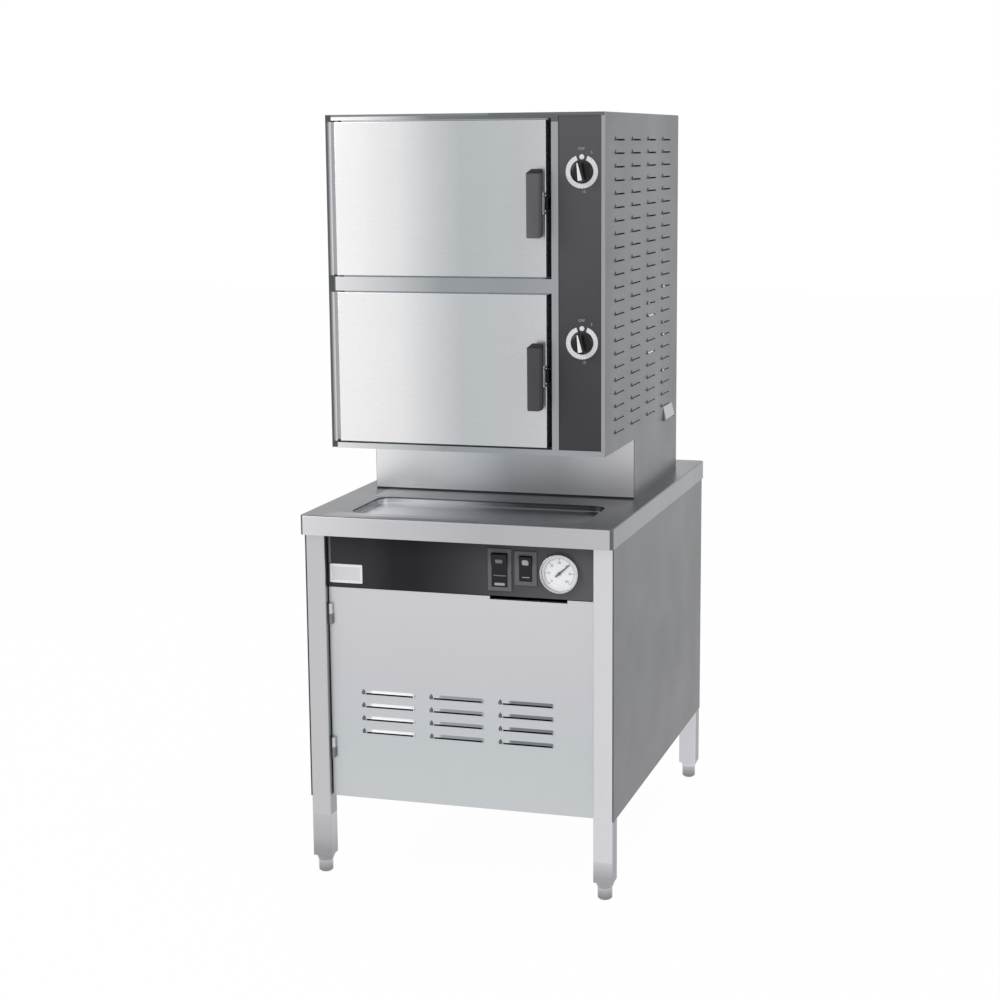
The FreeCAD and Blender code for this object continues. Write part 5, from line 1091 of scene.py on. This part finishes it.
@dataclass
class Studio:
    """Camera, lamps, pale floor and white surroundings."""

    camera_place: Point = (1.154, -3.891, 1.400)
    yaw: float = 17.0
    pitch: float = 10.0
    roll: float = -0.47
    lens: float = 72.55
    sensor: float = 36.0
    clip: tuple[float, float] = (0.1, 100.0)
    floor_size: float = 30.0
    ambient: float = 0.55
    floor_glow: float = 0.98
    lamps: tuple[tuple[str, Point, Point, float, float], ...] = (
        ("key", (-3.3, -2.3, 2.9), (0.0, -0.1, 0.8), 2.6, 80.0),
        ("fill", (3.4, -2.0, 1.9), (0.0, 0.0, 0.8), 2.6, 18.0),
        ("top", (0.2, 0.0, 4.2), (0.0, 0.0, 0.9), 2.6, 26.0),
        ("rear", (-1.2, 3.0, 4.4), (0.0, 0.2, 0.8), 2.0, 26.0),
    )

    def camera(self) -> None:
        """Sets the camera at the photograph's place and angle."""
        yaw, pitch, roll = (math.radians(part) for part in (self.yaw, self.pitch, self.roll))
        forward = Vector((-math.sin(yaw) * math.cos(pitch), math.cos(yaw) * math.cos(pitch),
                          -math.sin(pitch)))
        right = Vector((math.cos(yaw), math.sin(yaw), 0.0))
        up = right.cross(forward)
        right_rolled = math.cos(roll) * right + math.sin(roll) * up
        up_rolled = -math.sin(roll) * right + math.cos(roll) * up
        data = bpy.data.cameras.new("view")
        data.lens = self.lens
        data.sensor_width = self.sensor
        data.clip_start, data.clip_end = self.clip
        camera = bpy.data.objects.new("view", data)
        bpy.context.scene.collection.objects.link(camera)
        turn = Matrix((right_rolled, up_rolled, -forward)).transposed().to_4x4()
        camera.matrix_world = Matrix.Translation(self.camera_place) @ turn
        bpy.context.scene.camera = camera

    def light(self) -> None:
        """Hangs the soft lamps."""
        for name, place, target, size, power in self.lamps:
            data = bpy.data.lights.new(name, "AREA")
            data.shape = "SQUARE"
            data.size = size
            data.energy = power
            lamp = bpy.data.objects.new(name, data)
            bpy.context.scene.collection.objects.link(lamp)
            way = Vector(target) - Vector(place)
            lamp.matrix_world = Matrix.Translation(place) @ way.to_track_quat("-Z", "Y").to_matrix().to_4x4()

    def surroundings(self) -> None:
        """Makes the world white to the camera and in reflections, and softer as light."""
        world = bpy.data.worlds.new("studio")
        bpy.context.scene.world = world
        world.use_nodes = True
        tree = world.node_tree
        tree.nodes.clear()
        path = tree.nodes.new("ShaderNodeLightPath")
        seen = self.seen(tree, path)
        mix = tree.nodes.new("ShaderNodeMixShader")
        output = tree.nodes.new("ShaderNodeOutputWorld")
        tree.links.new(seen, mix.inputs[0])
        for place, strength in ((1, self.ambient), (2, 1.0)):
            white = tree.nodes.new("ShaderNodeBackground")
            white.inputs[0].default_value = WHITE
            white.inputs[1].default_value = strength
            tree.links.new(white.outputs[0], mix.inputs[place])
        tree.links.new(mix.outputs[0], output.inputs[0])

    @staticmethod
    def seen(tree: bpy.types.NodeTree, path: bpy.types.Node) -> bpy.types.NodeSocket:
        """1 for what the camera sees, straight, in gloss or through glass."""
        share = path.outputs["Is Camera Ray"]
        for ray in ("Is Glossy Ray", "Is Transmission Ray"):
            either = tree.nodes.new("ShaderNodeMath")
            either.operation = "MAXIMUM"
            tree.links.new(share, either.inputs[0])
            tree.links.new(path.outputs[ray], either.inputs[1])
            share = either.outputs[0]
        return share

    def floor(self) -> None:
        """Lays a pale floor that keeps a soft shadow."""
        Bench.clear()
        bpy.ops.mesh.primitive_plane_add(size=self.floor_size)
        floor = bpy.context.object
        floor.name = "floor"
        graph = Graph("floor")
        cloud = graph.noise(1.5, 2.0)
        diffuse = graph.node("ShaderNodeBsdfDiffuse", None,
                             {0: graph.mixed(cloud * 0.2, (0.93, 0.93, 0.93, 1.0), (0.9, 0.9, 0.9, 1.0))})
        glow = graph.node("ShaderNodeEmission", None, {0: WHITE, 1: 1.0})
        path = graph.node("ShaderNodeLightPath")
        share = Value(graph, self.seen(graph.tree, path)) * self.floor_glow
        mix = graph.node("ShaderNodeMixShader", None, {0: share, 1: diffuse.outputs[0], 2: glow.outputs[0]})
        graph.tree.links.new(mix.outputs[0], graph.output.inputs[0])
        floor.data.materials.append(graph.material)

    def build(self) -> None:
        """Sets up the whole studio."""
        self.camera()
        self.light()
        self.surroundings()
        self.floor()
        bpy.context.scene.view_settings.view_transform = "Standard"
        log.info("studio ready")


@dataclass
class DoorHandle:
    """A paddle that turns on the door's pin, with its boss and latch hook."""

    body: str
    node: str
    middle: float
    finish: str
    left: float = 0.1290
    right: float = 0.1572
    front: float = -0.3631
    thickness: float = 0.012
    height: float = 0.124
    slant: float = 0.0075
    lower_corner: float = 0.006
    pin_x: float = 0.151
    pin_y: float = -0.3431
    boss_radius: float = 0.007
    boss_height: float = 0.030
    bore: float = 0.00305
    hook_x: float = 0.1605
    hook_thickness: float = 0.003
    hook_end: float = -0.3181
    hook_height: float = 0.022
    upper_corner: float = 0.0078

    def paddle(self) -> Bench:
        """The flat moulded grip with a slanted upper corner and a rounded lower one."""
        half = self.height / 2
        low, high = self.middle - half, self.middle + half
        corner = self.lower_corner
        points = [(self.left, high - self.slant), (self.left, low + corner / 3),
                  (self.left + corner / 3, low), (self.right - corner, low),
                  (self.right - corner / 3, low + corner / 3),
                  (self.right, low + corner), (self.right, high - 0.001), (self.right - 0.001, high),
                  (self.left + self.slant, high)]
        bench = Bench().outline(points, self.thickness, BACK, lambda x, z: (x, self.front, z))
        bench.edges_where(lambda a, b: min(a.z, b.z) > high - 1e-5
                          and max(a.y, b.y) < self.front + 1e-5)
        bench.bevel(self.upper_corner, 1)
        bench.soften(0.0014, 3)
        return bench

    def neck(self) -> Bench:
        """Boss, web, arm and hook behind the grip."""
        low, high = self.middle - self.boss_height / 2, self.middle + self.boss_height / 2
        boss = Bench().turned([(self.bore, low), (self.boss_radius - 0.0006, low),
                               (self.boss_radius, low + 0.0006), (self.boss_radius, high - 0.0006),
                               (self.boss_radius - 0.0006, high), (self.bore, high), (self.bore, low)])
        boss.place(Matrix.Translation((self.pin_x, self.pin_y, 0.0)))
        web = Bench().block((self.pin_x - self.boss_radius, self.front + self.thickness - 0.001, low),
                            (self.pin_x + self.boss_radius, self.pin_y - self.bore - 0.0006, high))
        web.soften(0.0006)
        boss.add(web)
        z0, z1 = self.middle - self.hook_height / 2, self.middle + self.hook_height / 2
        y = self.pin_y
        t = self.hook_thickness
        arm = Bench().outline([(self.pin_x + self.boss_radius - 0.001, y - t), (self.hook_x + t, y - t),
                               (self.hook_x + t, self.hook_end), (self.hook_x, self.hook_end),
                               (self.hook_x, y + t), (self.pin_x + self.boss_radius - 0.001, y + t)],
                              z1 - z0, UP, lambda x, v: (x, v, z0))
        arm.soften(0.0005)
        return boss.add(arm)

    def build(self, finishes: FinishBook) -> None:
        """Models the handle."""
        self.paddle().finish(self.node + "_paddle", finishes[self.finish], self.body, "handle_grey",
                             (self.node,))
        self.neck().finish(self.node + "_hook", finishes["hook_steel"], self.body, "handle_grey")


@dataclass
class TimerStation:
    """A spring timer's printed ring, figures and pointer knob on the control panel."""

    body: str
    knob_node: str
    label: str
    z: float
    x: float = 0.225
    panel: float = -0.3319
    ring_inner: float = 0.0215
    ring_outer: float = 0.030
    knob_radius: float = 0.0205
    knob_gap: float = 0.0004
    knob_height: float = 0.019
    lean: float = 9.0
    opening: float = 42.0
    print_thickness: float = 0.0006
    dot_radius: float = 0.0046
    dot_height: float = 0.0262
    ring_steps: int = 44
    mark_count: int = 30
    mark_margin: float = 18.0
    mark_reach: tuple[float, float] = (0.0262, 0.0292)
    lettering: tuple[tuple[str, float, float], ...] = (
        ("OFF", 91.0, 0.0405), ("15", -84.0, 0.0362), ("5", 62.0, 0.0385))
    letter_size: float = 0.0072

    def ring(self) -> Bench:
        """White printed band, open at the top, with an index dot in the opening."""
        points = ring_points((self.ring_outer, self.ring_inner), 90.0 + self.opening / 2,
                             360.0 - self.opening, self.ring_steps)
        band = Bench().outline(points, self.print_thickness, BACK,
                               lambda x, z: (self.x + x, self.panel - self.print_thickness, self.z + z))
        middle = self.z + self.dot_height
        dot = Bench().drum(self.dot_radius, (self.x, self.panel - self.print_thickness, middle),
                           (self.x, self.panel, middle), 24)
        return band.add(dot)

    def marks(self) -> Bench:
        """Thin minute marks on the band."""
        low, high = self.mark_reach
        mark = Bench().block((-0.00018, -0.00012, low), (0.00018, 0.0, high))
        middle = Matrix.Translation((self.x, self.panel - self.print_thickness, self.z))
        turn = 360.0 - 2 * self.mark_margin
        angles = [math.radians(-self.mark_margin - turn * step / (self.mark_count - 1))
                  for step in range(self.mark_count)]
        return mark.repeat(middle @ Matrix.Rotation(-angle, 4, "Y") for angle in angles)

    def figures(self) -> Bench:
        """Plain figures round the band."""
        return joined(self.figure(*letters) for letters in self.lettering)

    def figure(self, text: str, angle: float, away: float) -> Bench:
        """One figure at an angle and a distance from the middle."""
        spot = Vector((math.cos(math.radians(angle)), math.sin(math.radians(angle)))) * away
        place = facing_front(self.x + spot.x, self.panel - 0.0001, self.z + spot.y)
        return Bench().words(text, self.letter_size).place(place)

    def knob(self) -> Bench:
        """Skirted knob with a tapered pointer grip."""
        r = self.knob_radius
        skirt = Bench().turned([(0.0, 0.0), (r, 0.0), (r, 0.0026), (r - 0.0006, 0.0034), (r - 0.0022, 0.0046),
                                (r - 0.0035, 0.0056), (r - 0.006, 0.0060), (0.0, 0.0060)], 64)
        grip = Bench().block((-0.0072, -0.0188, 0.0052), (0.0072, 0.0188, self.knob_height))
        grip.faces_towards(UP)
        grip.resize((0.84, 0.94, 1.0), (0.0, 0.0, self.knob_height))
        grip.pick(Part.VERT, lambda v: v.co.y > 0.01)
        grip.resize((0.74, 1.0, 1.0), (0.0, 0.0, 0.012))
        grip.soften(0.0011, 3)
        skirt.add(grip)
        stem = Bench().drum(0.003, (0.0, 0.0, -0.026), (0.0, 0.0, 0.001), 24)
        skirt.add(stem)
        return skirt

    def stripe(self) -> Bench:
        """White wedge on the grip's face, narrow at the pointing end: a printed pointer that also stands in
        for the lit left flank of the grip as a painted highlight.
        """
        points = [(-0.0026, 0.0160), (-0.0052, -0.0158), (0.0030, -0.0158), (-0.0006, 0.0160)]
        line = Bench().outline(points, 0.0006, UP,
                               lambda x, y: (x, y, self.knob_height - 0.0004))
        line.soften(0.0002)
        return line

    def build(self, finishes: FinishBook) -> None:
        """Models the station."""
        turn = (facing_front(self.x, self.panel - self.knob_gap, self.z)
                @ Matrix.Rotation(math.radians(self.lean), 4, "Z"))
        self.ring().finish(self.label + "_timer_band", finishes["print_white"], "cabinet", "print_white",
                           ("timer_dials",))
        self.marks().finish(self.label + "_timer_marks", finishes["needle_black"], "cabinet", "print_white")
        self.figures().finish(self.label + "_timer_figures", finishes["print_grey"], "cabinet", "print_white")
        self.knob().place(turn).finish(self.label + "_timer_grip", finishes["knob_black"], self.body,
                                       "knob_black", (self.knob_node,))
        self.stripe().place(turn).finish(self.label + "_timer_pointer", finishes["print_white"], self.body,
                                         "print_white")


@dataclass
class PressureGauge:
    """Round gauge with a rolled bright ring, a marked dial and a pointer."""

    x: float = 0.197
    z: float = 0.622
    strip: float = -0.3891
    radius: float = 0.037
    proud: float = 0.009
    wall: float = 0.0035
    dial: float = -0.3911
    needle_angle: float = 41.0
    scale_start: float = 225.0
    scale_turn: float = 270.0
    long_steps: int = 6
    long_at: float = 0.0262
    short_steps: int = 30
    short_at: float = 0.0273
    arc_radii: tuple[float, float] = (0.0286, 0.0291)
    arc_steps: int = 48
    ink: float = 0.00012
    letter_at: float = 0.0202
    letter_size: float = 0.0062

    def case(self) -> Bench:
        """Rolled ring and drawn body."""
        r, p, w = self.radius, self.proud, self.wall
        bench = Bench().turned([
            (0.0, -0.044), (0.007, -0.044), (0.007, -0.030), (r - w - 0.0003, -0.030), (r - w - 0.0003, 0.0),
            (r, 0.0), (r, p - 0.0022), (r - 0.0004, p - 0.0010), (r - 0.0012, p - 0.0002), (r - 0.0020, p),
            (r - 0.0028, p - 0.0003), (r - w + 0.0002, p - 0.0011), (r - w, p - 0.0022), (r - w, 0.0010),
            (0.0, 0.0010)], 96)
        return bench.place(facing_front(self.x, self.strip, self.z))

    def spot(self, share: float, radius: float) -> Matrix:
        """The place of a mark at a share of the scale."""
        angle = math.radians(self.scale_start - self.scale_turn * share)
        return (facing_front(self.x, self.dial - 0.0001, self.z)
                @ Matrix.Rotation(angle, 4, "Z") @ Matrix.Translation((radius, 0.0, 0.0)))

    def marks(self) -> Bench:
        """Long and short marks round the scale."""
        long = Bench().block((-0.0022, -0.00035, 0.0), (0.0022, 0.00035, self.ink))
        long.repeat(self.spot(step / self.long_steps, self.long_at) for step in range(self.long_steps + 1))
        short = Bench().block((-0.0011, -0.0002, 0.0), (0.0011, 0.0002, self.ink))
        every = self.short_steps // self.long_steps
        short.repeat(self.spot(step / self.short_steps, self.short_at)
                     for step in range(self.short_steps + 1) if step % every)
        return long.add(short)

    def arc(self) -> Bench:
        """Thin line under the marks."""
        points = ring_points(self.arc_radii, self.scale_start, -self.scale_turn, self.arc_steps)
        return Bench().outline(points, self.ink, FRONT,
                               lambda x, z: (self.x + x, self.dial, self.z + z))

    def figures(self) -> Bench:
        """Plain figures from 0 to 60."""
        return joined(self.figure(step) for step in range(self.long_steps + 1))

    def figure(self, step: int) -> Bench:
        """The figure at one of the long marks."""
        angle = math.radians(self.scale_start - self.scale_turn * step / self.long_steps)
        place = facing_front(self.x + math.cos(angle) * self.letter_at, self.dial - 0.0001,
                             self.z + math.sin(angle) * self.letter_at)
        return Bench().words(str(step * 10), self.letter_size).place(place)

    def needle(self) -> Bench:
        """Tapered pointer with a round tail and a domed hub."""
        blade = Bench().outline([(-0.0085, -0.0016), (0.0, -0.0022), (0.0262, -0.0006), (0.0262, 0.0006),
                                 (0.0, 0.0022), (-0.0085, 0.0016), (-0.0105, 0.0)],
                                0.0007, UP, lambda x, y: (x, y, 0.0010))
        blade.soften(0.00015)
        hub = Bench().turned([(0.0, 0.0008), (0.0030, 0.0008), (0.0032, 0.0014), (0.0026, 0.0021),
                              (0.0014, 0.0024), (0.0, 0.0025)])
        spindle = Bench().drum(0.001, (0.0, 0.0, -0.006), (0.0, 0.0, 0.001), 16)
        blade.add(hub).add(spindle)
        return blade.place(facing_front(self.x, self.dial, self.z)
                           @ Matrix.Rotation(math.radians(self.needle_angle), 4, "Z"))

    def build(self, finishes: FinishBook) -> None:
        """Models the gauge."""
        self.case().finish("gauge_ring", finishes["bright_steel"], "cabinet", "bright_steel", ("gauge_case",))
        self.marks().finish("gauge_marks", finishes["pointer_grey"], "cabinet", "needle_black")
        self.arc().finish("gauge_arc", finishes["pointer_grey"], "cabinet", "needle_black")
        self.figures().finish("gauge_figures", finishes["pointer_grey"], "cabinet", "needle_black")
        self.needle().finish("gauge_pointer", finishes["pointer_grey"], "needle", "needle_black",
                             ("gauge_needle",))


@dataclass
class ControlStrip:
    """Bare plate and thin edge on the dark strip."""

    front: float = -0.3891
    plate_left: float = -0.2568
    plate_right: float = -0.1909
    plate_bottom: float = 0.5808
    plate_top: float = 0.6170
    plate_thickness: float = 0.0008
    plate_border: float = 0.0050

    def plate(self) -> Bench:
        """Bare light plate with rounded corners at the strip's left."""
        bench = Bench().block((self.plate_left, self.front - self.plate_thickness, self.plate_bottom),
                              (self.plate_right, self.front, self.plate_top))
        bench.depth_edges()
        bench.bevel(0.0015, 3)
        return bench.soften(0.0002)

    def field(self) -> Bench:
        """The plate's slightly darker bare field."""
        border = self.plate_border
        front = self.front - self.plate_thickness
        bench = Bench().block((self.plate_left + border, front - 0.0001, self.plate_bottom + border),
                              (self.plate_right - border, front + 0.0002, self.plate_top - border))
        bench.depth_edges()
        return bench.bevel(0.0012, 3)

    def edge(self) -> Bench:
        """Light folded edge at the strip's left end: its bare edge, with a painted highlight."""
        bench = Bench().block((-0.2586, self.front - 0.0004, 0.6190), (-0.2545, self.front + 0.0002, 0.6755))
        return bench.soften(0.0002)

    def build(self, finishes: FinishBook) -> None:
        """Models the strip's details."""
        self.plate().finish("bare_plate", finishes["label_white"], "cabinet", "print_white")
        self.field().finish("bare_plate_field", finishes["label_field"], "cabinet", "print_white")
        self.edge().finish("strip_edge", finishes["mark_dim"], "cabinet", "black_fascia")


@dataclass
class RockerMarks:
    """Light patches on one rocker, laid on its two sloping faces: a painted highlight on the upper face and
    light bars on the lower one.
    """

    label: str
    body: str
    x: float
    z: float
    # lens: size and height of the painted highlight patch on the upper face.
    lens: tuple[float, float, float]
    lens_finish: str
    bars: tuple[tuple[float, float, float], ...]
    axis: float = -0.3881
    crown: float = 0.003
    throw: float = 8.0
    proud: float = 0.0003

    def laid(self, piece: Bench, height: float) -> Bench:
        """Moves a piece modelled at the origin, facing forward, to a height on the rocker's face."""
        lean = math.radians(self.throw if height > 0.0 else -self.throw)
        return piece.place(Matrix.Translation((self.x, self.axis, self.z))
                           @ Matrix.Rotation(math.radians(self.throw), 4, "X")
                           @ Matrix.Translation((0.0, -self.crown, 0.0))
                           @ Matrix.Rotation(lean, 4, "X")
                           @ Matrix.Translation((0.0, 0.0, height)))

    def bar(self, width: float, tall: float, height: float) -> Bench:
        """A flat bar with rounded ends."""
        bench = Bench().block((-width / 2, -self.proud, -tall / 2), (width / 2, self.proud, tall / 2))
        bench.depth_edges()
        bench.bevel(tall * 0.3, 3)
        return self.laid(bench, height)

    def build(self, finishes: FinishBook) -> None:
        """Models the highlight patch and the bars."""
        # The piece named after the lens is a painted highlight.
        self.bar(*self.lens).finish(self.label + "_lens", finishes[self.lens_finish], self.body,
                                    "switch_black")
        for place, (width, tall, height) in enumerate(self.bars):
            tone = "mark_dim" if place else "print_grey"
            self.bar(width, tall, height).finish("%s_bar_%d" % (self.label, place + 1), finishes[tone],
                                                 self.body, "print_white")


@dataclass
class LouvreEnds:
    """Small dark patches at the left of each louvre of the cabinet door: painted shade of the louvre's open
    end.
    """

    front: float = -0.3861
    lefts: tuple[float, ...] = (-0.1897, -0.0527, 0.0843)
    top: float = 0.3680
    pitch: float = 0.0257
    rows: int = 4
    width: float = 0.0084
    height: float = 0.0112
    thickness: float = 0.0004

    def build(self, finishes: FinishBook) -> None:
        """Models one drop-shaped shadow patch and repeats it."""
        half, tall = self.width / 2, self.height / 2
        points = [(0.0, tall), (-half * 0.7, tall * 0.3), (-half, -tall * 0.35), (-half * 0.6, -tall * 0.9),
                  (half * 0.6, -tall * 0.9), (half, -tall * 0.35), (half * 0.7, tall * 0.3)]
        end = Bench().outline(points, self.thickness, BACK, lambda x, z: (x, 0.0, z))
        places = [Matrix.Translation((left - half * 1.1, self.front - self.thickness,
                                      self.top - row * self.pitch))
                  for left in self.lefts for row in range(self.rows)]
        end.repeat(places).finish("louvre_ends", finishes["louvre_end"], "cabinet_door", "door_steel")


def main() -> None:
    """Loads the frame, dresses it and adds the detailed pieces."""
    logging.basicConfig(level=logging.INFO, format="%(name)s %(message)s")
    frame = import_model()
    slots = {part["node"]: part["material_slot"] for part in frame["record"]["subparts"]}
    finishes = FinishBook()
    Studio().build()
    carried = CarriedNodes(finishes, frame["nodes"])
    carried.dress()
    FoldedSheets(finishes, frame["nodes"], carried.wear, slots).build()
    for body, node, middle, finish in (("upper_handle", "upper_door_handle", 1.2945, "upper_grip"),
                                       ("lower_handle", "lower_door_handle", 0.9795, "lower_grip")):
        DoorHandle(body, node, middle, finish).build(finishes)
    for body, node, label, z in (("upper_knob", "upper_timer_knob", "upper", 1.351),
                                 ("lower_knob", "lower_timer_knob", "lower", 1.042)):
        TimerStation(body, node, label, z).build(finishes)
    PressureGauge().build(finishes)
    ControlStrip().build(finishes)
    # Each rocker: a painted highlight patch on its upper face and light bars on its lower face.
    RockerMarks("power_rocker", "power_switch", 0.0820, 0.623, (0.014, 0.0075, 0.018), "mark_dim",
                ((0.020, 0.0048, -0.0268), (0.024, 0.0020, -0.0105))).build(finishes)
    RockerMarks("drain_rocker", "drain_switch", 0.1325, 0.628, (0.0125, 0.0105, 0.0125), "print_grey",
                ((0.014, 0.0016, -0.0165),)).build(finishes)
    LouvreEnds().build(finishes)


if __name__ == "__main__":
    main()
